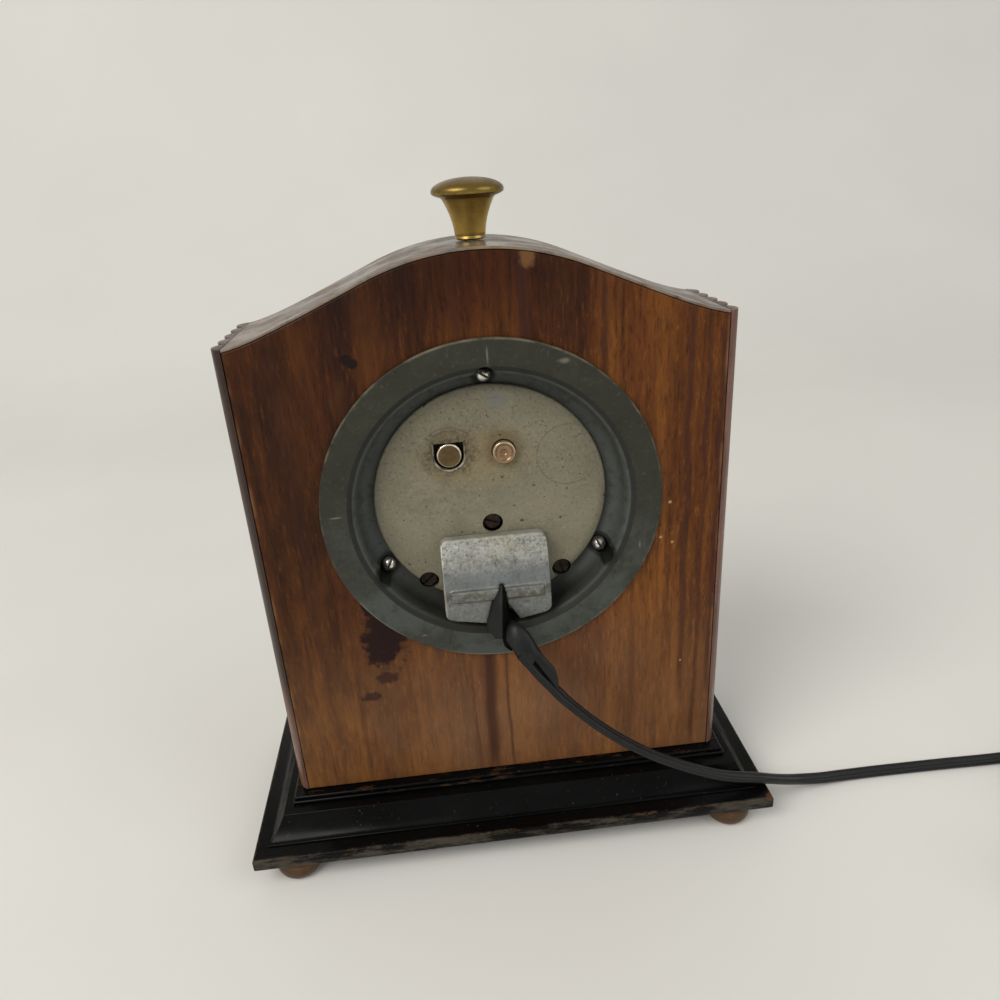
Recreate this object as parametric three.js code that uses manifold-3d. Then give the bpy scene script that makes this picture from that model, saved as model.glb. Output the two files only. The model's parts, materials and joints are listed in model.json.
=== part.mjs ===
// Electric mantel clock in an arched wooden case with reeded sides, seen from the back:
// a pressed steel ring with the movement's cover, a push button, a setting knob and a
// die-cast terminal hood from which the twin flex runs down to the table.
// Millimetres, +Z up, dial towards -Y, back towards +Y, origin on the table below the middle.

import * as THREE from 'three';
import { mergeVertices } from 'three/addons/utils/BufferGeometryUtils.js';
import Module from 'manifold-3d';

const wasm = await Module();
wasm.setup();

const degrees = Math.PI / 180;

// Clearances
const glueGap = 0.2;
const seatGap = 0.3;
const runGap = 0.3;
const endGap = 1;

// Fineness with which the gaps of wound pieces are measured
const gapStepsPerTurn = 240;
const gapPointsPerSection = 24;

// Overlaps of cutters and joined solids, and how far a rounding's middle lies inside its corner
const cutOver = 1;
const slotOver = 0.01;
const joinOver = 0.2;
const midRound = 0.3;

// Plinth and feet
const footHeight = 10;
const footRadius = 9.5;
const footSoleRadius = 5;
const footTopRadius = 6.5;
const footInsetX = 16;
const footInsetY = 9.8;
const footBellyShare = 0.55;
const slabWidth = 214;
const slabDepth = 94.6;
const slabThickness = 5.4;
const slabEdgeRound = 0.8;
const mouldingToeInsetX = 5.4;
const mouldingToeInsetY = 6.3;
const mouldingToeRise = 0.5;
const mouldingTopInsetX = 12;
const mouldingTopInsetY = 13.1;
const mouldingHeight = 9.6;
const mouldingHollowShare = 0.4;
const riserWidth = 183.4;
const riserDepth = 59.6;
const riserHeight = 3.5;
const riserReeds = 2;
const riserReedBulge = 0.9;

// Case
const caseWidth = 170;
const caseDepth = 50;
const caseHeight = 211.4;
const crownRise = 26.3;
const crownRadius = 92;
const flankAngle = 23.6 * degrees;
const flankReach = 26;
const shoulderAngle = 9 * degrees;
const shoulderReach = 9;
const boardThickness = 6;
const wallThickness = 8;
const topThickness = 6;
const veneerThickness = 0.9;
const reedCount = 5;
const reedBulge = 3.8;
const reedWeb = 0.6;
const dialAxisHeight = 120.55;

// Handle knob on the crown
const knobHeight = 20.3;
const knobCapRadius = 12.45;
const knobCapThickness = 6.6;
const knobNeckRadius = 9.1;
const knobFootRadius = 5.45;
const knobFootChamfer = 0.9;
const knobFootRise = 1.4;
const knobFlare = 0.75;
const knobLip = 0.5;
const knobRimRise = 2.4;
const knobScrewRadius = 2;
const knobScrewHeadRadius = 4;
const knobScrewHeadThickness = 2.4;
const knobScrewChamfer = 0.6;
const knobThreadLength = 8;

// Pressed ring at the back
const rearHoleRadius = 53;
const ringRadius = 62.15;
const ringThickness = 1.8;
const ringEdgeRound = 0.5;
const ringFlatRadius = 52.4;
const ringRimRadius = 50.3;
const ringRimDrop = 1.3;
const ringLedge = 0.5;
const wallRadius = 49.4;
const wallOuterRadius = 51.7;
const channelDepth = 13.4;
const channelSheet = 1.2;
const channelCove = 5.5;
const channelInnerRadius = 41;
const caseScrewCircle = 47.3;
const caseScrewAngles = [90, 210, 330];
const caseScrewHeadRadius = 2.9;
const caseScrewPocketGap = 0.45;
const caseScrewHeadHeight = 3.9;
const caseScrewPocketRise = 1.2;
const caseScrewRadius = 1.5;
const slotWidth = 0.9;
const slotDepth = 1;
const slotTurn = 50 * degrees;
const screwEdge = 0.3;
const domeOutline = [[1, 0.35], [0.8, 0.75], [0.45, 0.96]];

// Cover disc with its button, knob and screws
const coverRadius = 43.6;
const coverRise = 2.1;
const coverSheet = 1.2;
const coverSkirt = 1.1;
const coverEdgeRound = 0.9;
const startX = 14.3;
const startZ = 18.1;
const startRadius = 4.6;
const startProud = 0.4;
const startEdgeRound = 0.6;
const startTravel = 3;
const startHeadLength = 9.4;
const startStemRadius = 1.6;
const startHoleRadius = 5.4;
const startHoleTop = 4.9;
const startLipWidth = 0.8;
const startArchRadius = 10.6;
const startArchWidth = 1.2;
const startArchAngle = 44 * degrees;
const embossHeight = 0.5;
const springWireRadius = 0.4;
const springCoils = 4;
const setX = -5.7;
const setZ = 18.3;
const setRadius = 4.25;
const setProud = 2.6;
const setSkirt = 1.2;
const setRim = 1.2;
const setFaceDepth = 0.5;
const setDimpleDepth = 0.9;
const setDimpleRadius = 1.1;
const setArborRadius = 1.5;
const coverScrewRadius = 3.4;
const coverScrewHeight = 1.3;
const coverScrewShank = 1.4;
const coverScrewHole = 3.9;
const coverScrewPlaces = [[0, -10.5], [26.3, -32.7], [-26, -32.7]];

// Terminal hood
const hoodX = 0.7;
const hoodWidth = 40.6;
const hoodTop = -14.2;
const hoodBottom = -47.3;
const hoodCornerRise = 3.6;
const hoodCornerRadius = 2.6;
const hoodCornerEase = 0.85;
const hoodTopChamfer = 0.9;
const hoodBulgeDrop = 8;
const hoodBulgeInset = 2.2;
const hoodDepthTop = 4.5;
const hoodDepthBottom = 13.5;
const hoodWall = 2;
const hoodBandMargin = 2.6;
const hoodBandBottom = -36;
const hoodBandHeight = 4.5;
const hoodBandRise = 0.6;
const notchOutline = [
  [-1.2, -29.3], [0.6, -33], [3.2, -38], [4.2, -42], [5.2, -52],
  [-9.5, -52], [-8.1, -47.3], [-2.6, -38.5], [-2, -33],
];
const blockWidth = 24;
const blockHeight = 10;
const blockDrop = 2.5;
const blockThickness = 4;
const pinSpacing = 13;
const pinRadius = 1.6;
const pinLength = 4.8;
const socketFloor = 1;

// Movement frame and motor
const plateRadius = 45.2;
const plateThickness = 1.5;
const plateSpacing = 19;
const pillarRadius = 2.6;
const pillarPlaces = [[0, 36], ...coverScrewPlaces.slice(1)];
const pillarThread = 2;
const rotorZ = -4;
const rotorRadius = 13;
const rotorLength = 6;
const rotorTeeth = 16;
const rotorSlotDepth = 1;
const rotorToothOutline = [[0, 0], [0.5, 0], [0.55, 1], [0.95, 1]];
const rotorGap = 0.6;
const shaftRadius = 1;
const stackThickness = 5;
const rotorClear = 1.4;
const stackHalfWidth = 20;
const stackTop = 8;
const stackWindowTop = -15;
const limbTop = -27;
const limbBottom = -36;
const limbWidth = 5.5;
const poleGapHalf = 3;
const bobbinRadius = 8;
const bobbinCoreRadius = 6;
const bobbinFlange = 1.2;
const windingRadius = 7.4;
const gearCaseRadius = 30;
const gearCaseBottom = -20;
const gearCaseThickness = 5.7;
const gearCaseBoreDepth = 4;

// Motion work
const minuteWheelTeeth = 30;
const minutePinionTeeth = 8;
const cannonTeeth = 10;
const hourTeeth = 32;
const toothTipHeight = 0.85;
const toothRootDepth = 1.15;
const toothTipShare = 0.11;
const toothRootShare = 0.32;
const wheelThickness = 2;
const layerGap = 1;
const pinionFaceExtra = 0.4;
const cannonTubeRadius = 2;
const hourPipeRadius = 3;

// Front
const frontHoleRadius = 52;
const bezelRadius = 58;
const bezelOutline = [[0, 0], [0, 1.2], [1.6, 2.2], [2.2, 4.2], [4.4, 5.4], [6.6, 4.6]];
const bezelLip = 0.8;
const bezelLipRadius = 47.5;
const bezelSleeve = 1.4;
const frontRingWidth = 8.6;
const frontRingThickness = 1.5;
const dialThickness = 1.2;
const glassThickness = 1.8;
const glassDome = 6;
const glassSeatRise = 2.6;
const handThickness = 0.8;
const hourHandLength = 27;
const minuteHandLength = 40;
const hourHandWidth = 4.2;
const minuteHandWidth = 3;
const handTail = 8;
const handTailShare = 0.7;
const handBossRim = 2;
const handWidestShare = 0.62;
const handLift = 1.2;
const handPitch = 2;
const nutRadius = 3;
const nutThickness = 1.4;
const hourAtRest = 10;
const minuteAtRest = 9;

// Flex: free stretch, coil, tie, sleeve and plug
const flexWidth = 5.6;
const flexThickness = 3;
const floorGap = 0.2;
const sleeveStartRadius = 4.1;
const sleeveEndRadius = 3.3;
const sleevePlaces = [
  [0, 21.5, 109.5], [-0.4, 27.3, 104.6], [-3, 34, 98], [-9.5, 39.5, 88.8], [-17.7, 43, 79],
];
const flexPlaces = [
  [-17.9, 43.1, 78.75], [-21.2, 44.2, 75], [-34.5, 45.5, 61.2], [-50, 45.5, 48], [-66, 44, 36.8],
  [-86, 42.2, 26], [-104.5, 39.2, 19], [-115.8, 35, 12.6], [-126.7, 30.7, 7], [-137.5, 28.4, 3.9],
  [-148.2, 26.8, 2.3],
];
const flexFloorPlaces = [[-165, 26.2], [-195, 26.7], [-223, 27.4]];
const flexStep = 6.7;
const coilCentreX = -268;
const coilEntryY = 28;
const coilOuterRadius = 36;
const coilTurnsPerLayer = 2;
const coilLayers = 4;
const coilPitch = 6.6;
const coilLayerPitch = 4;
const coilClimbTurns = 0.28;
const coilStartLead = 8.4;
const coilEndLead = 26;
const tieThickness = 0.8;
const tieWidth = 7;
const plugLength = 32;
const plugEntryRadius = 4.2;
const plugOutline = [[0.62, 0.22], [0.9, 0.5], [1, 0.72]];
const plugChamfer = 1;
const plugPinRadius = 2;
const plugPinLength = 15;
const plugPinSpacing = 12;

// Levels and places that follow from the sizes above
const slabBottom = footHeight;
const slabTop = slabBottom + slabThickness;
const mouldingTop = slabTop + mouldingHeight;
const caseBottom = mouldingTop + riserHeight;
const crownZ = caseBottom + caseHeight;
const shoulderZ = crownZ - crownRise;
const dialAxisZ = caseBottom + dialAxisHeight;
const backFace = caseDepth / 2;
const frontFace = -caseDepth / 2;
const ringFace = backFace + glueGap + ringThickness;
const channelFloor = ringFace - channelDepth;
const coverFace = channelFloor + coverRise;
const rearPlateBack = channelFloor - channelSheet - seatGap;
const rearPlateFront = rearPlateBack - plateThickness;
const frontPlateBack = rearPlateFront - plateSpacing;
const frontPlateFront = frontPlateBack - plateThickness;
const gearCaseFront = frontPlateBack + seatGap;
const gearCaseBack = gearCaseFront + gearCaseThickness;
const stackY = gearCaseBack + rotorClear + rotorLength / 2;
const minuteWheelY = frontPlateFront - layerGap;
const hourWheelY = minuteWheelY - wheelThickness - layerGap;
const frontRingBack = frontFace + boardThickness + frontRingThickness;
const frontRingFront = frontRingBack - frontRingThickness;
const dialBack = frontRingFront - seatGap;
const dialFront = dialBack - dialThickness;
const hourHandY = dialFront - handLift;
const minuteHandY = hourHandY - handPitch;
const nutY = minuteHandY - handThickness - seatGap;
const setDistance = Math.hypot(setX, setZ);
const gearModule = 2 * setDistance / (minuteWheelTeeth + cannonTeeth);
const hourModule = 2 * setDistance / (minutePinionTeeth + hourTeeth);
const setAngle = Math.atan2(setZ, setX);

// Finishes
const finishes = {
  walnut: { color: 0x5a3a20, roughness: 0.42, metalness: 0 },
  ebonised: { color: 0x17171a, roughness: 0.25, metalness: 0 },
  footWood: { color: 0x8a4f2a, roughness: 0.5, metalness: 0 },
  brass: { color: 0x8d7a43, roughness: 0.35, metalness: 1 },
  ringSteel: { color: 0x4c4f45, roughness: 0.55, metalness: 0.3 },
  coverPaint: { color: 0x8f8a78, roughness: 0.6, metalness: 0.1 },
  zinc: { color: 0x85878a, roughness: 0.5, metalness: 0.8 },
  steel: { color: 0xb4b2ad, roughness: 0.3, metalness: 1 },
  brownedSteel: { color: 0x3a2f26, roughness: 0.6, metalness: 0.6 },
  bakelite: { color: 0x2b1d16, roughness: 0.35, metalness: 0 },
  copper: { color: 0x9a5b34, roughness: 0.4, metalness: 0.9 },
  iron: { color: 0x5c5d60, roughness: 0.6, metalness: 0.8 },
  dialPaint: { color: 0xe6dcc0, roughness: 0.55, metalness: 0 },
  handPaint: { color: 0x16181d, roughness: 0.4, metalness: 0.4 },
  glass: { color: 0xeef3f2, roughness: 0.05, metalness: 0, transparent: true, opacity: 0.25 },
  flexRubber: { color: 0x141516, roughness: 0.5, metalness: 0 },
};

// Solids: vertices merged, empty faces dropped and the surface turned outwards
function closedGeometry(source) {
  const bare = source.index ? source.toNonIndexed() : source.clone();
  bare.deleteAttribute('normal');
  bare.deleteAttribute('uv');
  const merged = mergeVertices(bare, 1e-4);
  const place = merged.attributes.position;
  const kept = [];
  let volume = 0;
  const a = new THREE.Vector3();
  const b = new THREE.Vector3();
  const c = new THREE.Vector3();
  for (let i = 0; i < merged.index.count; i += 3) {
    const corner = [0, 1, 2].map((k) => merged.index.getX(i + k));
    if (new Set(corner).size === 3) {
      kept.push(corner);
      a.fromBufferAttribute(place, corner[0]);
      b.fromBufferAttribute(place, corner[1]);
      c.fromBufferAttribute(place, corner[2]);
      volume += a.dot(b.cross(c));
    }
  }
  const order = volume < 0 ? ([p, q, r]) => [p, r, q] : (corner) => corner;
  merged.setIndex(kept.flatMap(order));
  return merged;
}

function toSolid(geometry) {
  const closed = closedGeometry(geometry);
  return new wasm.Manifold(new wasm.Mesh({
    numProp: 3,
    vertProperties: new Float32Array(closed.attributes.position.array),
    triVerts: new Uint32Array(closed.index.array),
  }));
}

function toGeometry(solid) {
  const mesh = solid.getMesh();
  const geometry = new THREE.BufferGeometry();
  geometry.setAttribute('position', new THREE.BufferAttribute(mesh.vertProperties, 3));
  geometry.setIndex(new THREE.BufferAttribute(mesh.triVerts, 1));
  return geometry;
}

function cut(base, ...tools) {
  return toGeometry(tools.reduce((solid, tool) => solid.subtract(toSolid(tool)), toSolid(base)));
}

function join(base, ...others) {
  return toGeometry(others.reduce((solid, other) => solid.add(toSolid(other)), toSolid(base)));
}

function common(first, second) {
  return toGeometry(toSolid(first).intersect(toSolid(second)));
}

// Revolved about the Y axis from [radius, y] points; a profile off the axis closes on itself
function revolve(profile, sides) {
  const points = profile.map(([radius, y]) => new THREE.Vector2(radius, y));
  if (profile[0][0] > 0) points.push(points[0].clone());
  return closedGeometry(new THREE.LatheGeometry(points, sides));
}

function revolveUpright(profile, sides) {
  return revolve(profile, sides).rotateX(Math.PI / 2);
}

// A shape drawn in X and Z, running along Y from its front to its back
function alongY(shape, front, back, curveSegments = 12) {
  const geometry = new THREE.ExtrudeGeometry(shape, {
    depth: back - front,
    bevelEnabled: false,
    curveSegments,
  });
  return closedGeometry(geometry.rotateX(Math.PI / 2).translate(0, back, 0));
}

function upright(shape, bottom, top, curveSegments = 8) {
  const geometry = new THREE.ExtrudeGeometry(shape, {
    depth: top - bottom,
    bevelEnabled: false,
    curveSegments,
  });
  return closedGeometry(geometry.translate(0, 0, bottom));
}

// A shape drawn in Y and Z, running along X
function alongX(shape, left, right, curveSegments = 8) {
  const geometry = new THREE.ExtrudeGeometry(shape, {
    depth: right - left,
    bevelEnabled: false,
    curveSegments,
  });
  const turn = new THREE.Matrix4().makeBasis(
    new THREE.Vector3(0, 1, 0),
    new THREE.Vector3(0, 0, 1),
    new THREE.Vector3(1, 0, 0),
  );
  return closedGeometry(geometry.applyMatrix4(turn).translate(left, 0, 0));
}

function rod(radius, front, back, x = 0, z = 0, sides = 16) {
  return revolve([[0, front], [radius, front], [radius, back], [0, back]], sides).translate(x, 0, z);
}

function block(width, depth, height, x, y, z) {
  return new THREE.BoxGeometry(width, depth, height).translate(x, y, z);
}

function circleShape(radius) {
  const shape = new THREE.Shape();
  shape.absarc(0, 0, radius, 0, 2 * Math.PI, false);
  return shape;
}

function regularShape(radius, sides) {
  const corners = Array.from({ length: sides }, (_, side) => {
    const angle = side / sides * 2 * Math.PI;
    return new THREE.Vector2(radius * Math.cos(angle), radius * Math.sin(angle));
  });
  return new THREE.Shape(corners);
}

function roundHole(shape, radius, x = 0, z = 0) {
  const hole = new THREE.Path();
  hole.absarc(x, z, radius, 0, 2 * Math.PI, true);
  shape.holes.push(hole);
}

// Stacked rectangles with mitred corners, from [half width, half depth, z] levels
function mitredStack(levels) {
  const vertices = [];
  const faces = [];
  const corners = [[-1, -1], [1, -1], [1, 1], [-1, 1]];
  levels.forEach(([halfWidth, halfDepth, z]) => {
    corners.forEach(([sx, sy]) => vertices.push(sx * halfWidth, sy * halfDepth, z));
  });
  for (let level = 0; level < levels.length - 1; level += 1) {
    for (let side = 0; side < 4; side += 1) {
      const next = (side + 1) % 4;
      const low = 4 * level;
      const high = low + 4;
      faces.push(low + side, low + next, high + next, low + side, high + next, high + side);
    }
  }
  const top = 4 * (levels.length - 1);
  faces.push(0, 2, 1, 0, 3, 2, top, top + 1, top + 2, top, top + 2, top + 3);
  const geometry = new THREE.BufferGeometry();
  geometry.setAttribute('position', new THREE.Float32BufferAttribute(vertices, 3));
  geometry.setIndex(faces);
  return closedGeometry(geometry);
}

const clock = new THREE.Group();
const movement = new THREE.Group();
movement.position.z = dialAxisZ;
clock.add(movement);

function addPiece(parent, name, geometry, finish, x = 0, y = 0, z = 0) {
  const mesh = new THREE.Mesh(geometry, new THREE.MeshStandardMaterial(finishes[finish]));
  mesh.name = name;
  mesh.position.set(x, y, z);
  parent.add(mesh);
}

// Arched outline: crown arc, straight flanks easing into hollow shoulders
function archOver(shape, drop) {
  const half = caseWidth / 2;
  const crown = new THREE.Vector2(
    crownRadius * Math.sin(flankAngle),
    crownZ - drop - crownRadius * (1 - Math.cos(flankAngle)),
  );
  const flank = new THREE.Vector2(
    crown.x + flankReach * Math.cos(flankAngle),
    crown.y - flankReach * Math.sin(flankAngle),
  );
  const shoulder = new THREE.Vector2(
    half - shoulderReach * Math.cos(shoulderAngle),
    shoulderZ - drop + shoulderReach * Math.sin(shoulderAngle),
  );
  shape.bezierCurveTo(shoulder.x, shoulder.y, flank.x, flank.y, crown.x, crown.y);
  shape.absarc(
    0,
    crownZ - drop - crownRadius,
    crownRadius,
    Math.PI / 2 - flankAngle,
    Math.PI / 2 + flankAngle,
    false,
  );
  shape.bezierCurveTo(-flank.x, flank.y, -shoulder.x, shoulder.y, -half, shoulderZ - drop);
}

function archStrip(upperDrop, lowerDrop) {
  const half = caseWidth / 2;
  const upper = new THREE.Shape();
  upper.moveTo(half, shoulderZ - upperDrop);
  archOver(upper, upperDrop);
  const lower = new THREE.Shape();
  lower.moveTo(half, shoulderZ - lowerDrop);
  archOver(lower, lowerDrop);
  const segments = 10;
  return new THREE.Shape([...upper.getPoints(segments), ...lower.getPoints(segments).reverse()]);
}

function boardShape(holeRadius) {
  const half = caseWidth / 2;
  const drop = veneerThickness + glueGap;
  const shape = new THREE.Shape();
  shape.moveTo(-half, caseBottom + glueGap);
  shape.lineTo(half, caseBottom + glueGap);
  shape.lineTo(half, shoulderZ - drop);
  archOver(shape, drop);
  shape.closePath();
  roundHole(shape, holeRadius, 0, dialAxisZ);
  return shape;
}

// Five convex reeds side by side on a thin web, drawn in plan for the +X side
function reedingShape(side) {
  const base = caseWidth / 2 + glueGap;
  const pitch = caseDepth / reedCount;
  const bulge = reedBulge - reedWeb;
  const radius = (pitch * pitch / 4 + bulge * bulge) / (2 * bulge);
  const spread = Math.asin(pitch / 2 / radius);
  const outline = [new THREE.Vector2(base, frontFace)];
  const steps = 6;
  for (let reed = 0; reed < reedCount; reed += 1) {
    const middle = frontFace + (reed + 0.5) * pitch;
    for (let step = reed === 0 ? 0 : 1; step <= steps; step += 1) {
      const angle = spread * (2 * step / steps - 1);
      const x = base + reedBulge - radius * (1 - Math.cos(angle));
      outline.push(new THREE.Vector2(x, middle + radius * Math.sin(angle)));
    }
  }
  outline.push(new THREE.Vector2(base, backFace));
  outline.forEach((point) => point.setX(side * point.x));
  return new THREE.Shape(outline);
}

function buildCase() {
  const inner = caseDepth - 2 * boardThickness - 2 * glueGap;
  const facets = 20;
  const backBoard = alongY(boardShape(rearHoleRadius), backFace - boardThickness, backFace, facets);
  addPiece(clock, 'back_board', backBoard, 'walnut');
  const frontBoard = alongY(boardShape(frontHoleRadius), frontFace, frontFace + boardThickness, facets);
  addPiece(clock, 'front_board', frontBoard, 'walnut');
  const topUpper = veneerThickness + glueGap;
  const topLower = topUpper + topThickness;
  const screwHole = rod(knobScrewRadius + runGap, 0, 2 * crownRise).rotateX(Math.PI / 2);
  screwHole.translate(0, 0, crownZ - crownRise);
  const topBoard = alongY(archStrip(topUpper, topLower), -inner / 2, inner / 2);
  addPiece(clock, 'top_board', cut(topBoard, screwHole), 'walnut');
  const veneer = alongY(archStrip(0, veneerThickness), frontFace, backFace);
  addPiece(clock, 'top_veneer', cut(veneer, screwHole), 'walnut');
  const wallBottom = caseBottom + glueGap;
  const wallTop = shoulderZ - topLower - glueGap;
  const wallHeight = wallTop - wallBottom;
  for (const [name, side] of [['left', 1], ['right', -1]]) {
    const wallX = side * (caseWidth - wallThickness) / 2;
    const wall = block(wallThickness, inner, wallHeight, wallX, 0, wallBottom + wallHeight / 2);
    addPiece(clock, `${name}_wall`, wall, 'walnut');
    addPiece(clock, `${name}_reeding`, upright(reedingShape(side), wallBottom, shoulderZ), 'walnut');
  }
}

function buildPlinth() {
  const halfWidth = slabWidth / 2;
  const halfDepth = slabDepth / 2;
  const inner = (inset) => [halfWidth - inset, halfDepth - inset];
  addPiece(clock, 'plinth_slab', mitredStack([
    [...inner(slabEdgeRound / 2), slabBottom],
    [...inner(0), slabBottom + slabEdgeRound / 2],
    [...inner(0), slabTop - slabEdgeRound],
    [...inner(slabEdgeRound * midRound), slabTop - slabEdgeRound * midRound],
    [...inner(slabEdgeRound), slabTop],
  ]), 'ebonised');

  // Cove: between a straight slope and a quarter ellipse, from a low toe to the top edge
  const toe = [halfWidth - mouldingToeInsetX, halfDepth - mouldingToeInsetY];
  const crest = [halfWidth - mouldingTopInsetX, halfDepth - mouldingTopInsetY];
  const bottom = slabTop + glueGap;
  const run = (share) => toe.map((start, axis) => start + (crest[axis] - start) * share);
  const toeZ = bottom + mouldingToeRise;
  const levels = [[...run(0), bottom]];
  const steps = 8;
  for (let step = 0; step <= steps; step += 1) {
    const share = step / steps;
    const hollow = Math.sqrt(1 - (1 - share) ** 2);
    const inward = share + (hollow - share) * mouldingHollowShare;
    levels.push([...run(inward), toeZ + (mouldingTop - toeZ) * share]);
  }
  addPiece(clock, 'plinth_moulding', mitredStack(levels), 'ebonised');

  const reedHeight = (riserHeight - glueGap) / riserReeds;
  const riserLevels = [];
  const reedSteps = 6;
  for (let reed = 0; reed < riserReeds; reed += 1) {
    const stepBack = reed * riserReedBulge;
    for (let step = reed === 0 ? 0 : 1; step <= reedSteps; step += 1) {
      const angle = step / reedSteps * Math.PI;
      const swell = riserReedBulge * (Math.sin(angle) - 1) - stepBack;
      const z = mouldingTop + glueGap + reedHeight * (reed + (1 - Math.cos(angle)) / 2);
      riserLevels.push([riserWidth / 2 + swell, riserDepth / 2 + swell, z]);
    }
  }
  addPiece(clock, 'plinth_riser', mitredStack(riserLevels), 'ebonised');

  const footProfile = [[0, 0], [footSoleRadius, 0]];
  const footSteps = 3;
  const bellyZ = footHeight * footBellyShare;
  for (let step = 1; step <= footSteps; step += 1) {
    const angle = step / footSteps * Math.PI / 2;
    footProfile.push([
      footSoleRadius + (footRadius - footSoleRadius) * Math.sin(angle),
      bellyZ * (1 - Math.cos(angle)),
    ]);
  }
  const footTop = footHeight - glueGap;
  for (let step = 1; step <= footSteps; step += 1) {
    const angle = step / footSteps * Math.PI / 2;
    footProfile.push([
      footTopRadius + (footRadius - footTopRadius) * Math.cos(angle),
      bellyZ + (footTop - bellyZ) * Math.sin(angle),
    ]);
  }
  footProfile.push([0, footTop]);
  for (const [row, sy] of [['rear', 1], ['front', -1]]) {
    for (const [column, sx] of [['left', 1], ['right', -1]]) {
      const x = sx * (halfWidth - footInsetX);
      const y = sy * (halfDepth - footInsetY);
      addPiece(clock, `foot_${row}_${column}`, revolveUpright(footProfile, 14), 'footWood', x, y);
    }
  }
}

function buildKnob() {
  const base = seatGap;
  const capZ = knobHeight - knobCapThickness;
  const profile = [[0, base], [knobFootRadius - knobFootChamfer, base], [knobFootRadius, base + knobLip]];
  const stemSteps = 5;
  for (let step = 0; step <= stemSteps; step += 1) {
    const share = step / stemSteps;
    const flare = share * share * knobFlare + share * (1 - knobFlare);
    const radius = knobFootRadius + (knobNeckRadius - knobFootRadius) * flare;
    profile.push([radius, base + knobFootRise + (capZ - base - knobFootRise) * share]);
  }
  const rimZ = capZ + knobRimRise;
  profile.push([knobNeckRadius + knobLip, capZ + knobLip]);
  profile.push([knobCapRadius - knobRimRise / 2, capZ + 2 * knobLip]);
  profile.push([knobCapRadius - knobLip / 2, capZ + 3 * knobLip], [knobCapRadius, rimZ]);
  const domeSteps = 5;
  for (let step = 1; step <= domeSteps; step += 1) {
    const angle = step / domeSteps * Math.PI / 2;
    profile.push([knobCapRadius * Math.cos(angle), rimZ + (knobHeight - rimZ) * Math.sin(angle)]);
  }
  profile[profile.length - 1][0] = 0;
  const bore = rod(knobScrewRadius + runGap, 0, base + knobThreadLength + seatGap).rotateX(Math.PI / 2);
  addPiece(clock, 'top_knob', cut(revolveUpright(profile, 20), bore), 'brass', 0, 0, crownZ);

  const headTop = -(veneerThickness + glueGap + topThickness + seatGap);
  const headBottom = headTop - knobScrewHeadThickness;
  const slotZ = headBottom + slotDepth / 2 - slotOver;
  const slot = block(2 * knobScrewHeadRadius + cutOver, slotWidth, slotDepth, 0, 0, slotZ);
  const screw = revolveUpright([
    [0, headBottom],
    [knobScrewHeadRadius - knobScrewChamfer, headBottom],
    [knobScrewHeadRadius, headBottom + knobScrewChamfer],
    [knobScrewHeadRadius, headTop],
    [knobScrewRadius, headTop],
    [knobScrewRadius, base + knobThreadLength],
    [0, base + knobThreadLength],
  ], 16);
  addPiece(clock, 'knob_screw', cut(screw, slot), 'steel', 0, 0, crownZ);
}

// Slotted screw along Y with its head towards the back
function screw(headRadius, headHeight, domed, shankRadius, shankFront, seat) {
  const top = seat + headHeight;
  const profile = [[0, shankFront], [shankRadius, shankFront], [shankRadius, seat], [headRadius, seat]];
  if (domed) {
    domeOutline.forEach(([reach, rise]) => profile.push([headRadius * reach, seat + headHeight * rise]));
  } else {
    profile.push([headRadius, top - screwEdge], [headRadius - screwEdge, top]);
  }
  profile.push([0, top]);
  const slotY = top - slotDepth / 2 + slotOver;
  const slot = block(2 * headRadius + cutOver, slotDepth, slotWidth, 0, slotY, 0);
  return cut(revolve(profile, 14), slot.rotateY(slotTurn));
}

function polar(radius, angle) {
  return [radius * Math.cos(angle * degrees), radius * Math.sin(angle * degrees)];
}

function buildRing() {
  const lip = backFace + glueGap;
  const rimY = ringFace - ringRimDrop;
  const cove = [];
  const coveSteps = 4;
  for (let step = 0; step <= coveSteps; step += 1) {
    const angle = step / coveSteps * Math.PI / 2;
    cove.push([
      wallRadius - channelCove * (1 - Math.cos(angle)),
      channelFloor + channelCove * (1 - Math.sin(angle)),
    ]);
  }
  const profile = [
    [ringRadius, lip],
    [ringRadius, ringFace - ringEdgeRound],
    [ringRadius - ringEdgeRound, ringFace],
    [ringFlatRadius, ringFace],
    [ringRimRadius, rimY],
    [ringRimRadius - ringLedge, rimY - ringLedge],
    ...cove,
    [channelInnerRadius, channelFloor],
    [channelInnerRadius, channelFloor - channelSheet],
    [wallRadius, channelFloor - channelSheet],
    [wallOuterRadius, channelFloor + channelSheet],
    [wallOuterRadius, lip],
  ];
  const holes = caseScrewAngles.map((angle) => {
    const [x, z] = polar(caseScrewCircle, angle);
    return rod(caseScrewRadius + runGap, channelFloor - channelCove, channelFloor + channelCove, x, z, 10);
  });
  const pocketBack = channelFloor + caseScrewHeadHeight + caseScrewPocketRise;
  const pockets = caseScrewAngles.map((angle) => {
    const [x, z] = polar(caseScrewCircle, angle);
    return rod(caseScrewHeadRadius + caseScrewPocketGap, channelFloor, pocketBack, x, z, 16);
  });
  const notchBack = channelFloor + channelCove;
  const notches = coverScrewPlaces.map(([x, z]) => rod(
    coverScrewHole, channelFloor - channelCove, notchBack, x, z, 16));
  const ring = cut(revolve(profile, 40), ...holes, ...pockets, ...notches);
  addPiece(movement, 'rear_ring', ring, 'ringSteel');
  const screwTip = frontRingFront + seatGap;
  const headSeat = channelFloor + seatGap;
  caseScrewAngles.forEach((angle, index) => {
    const [x, z] = polar(caseScrewCircle, angle);
    const body = screw(caseScrewHeadRadius, caseScrewHeadHeight, true, caseScrewRadius, screwTip, headSeat);
    addPiece(movement, `case_screw_${index + 1}`, body, 'steel', x, 0, z);
  });
}

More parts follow.
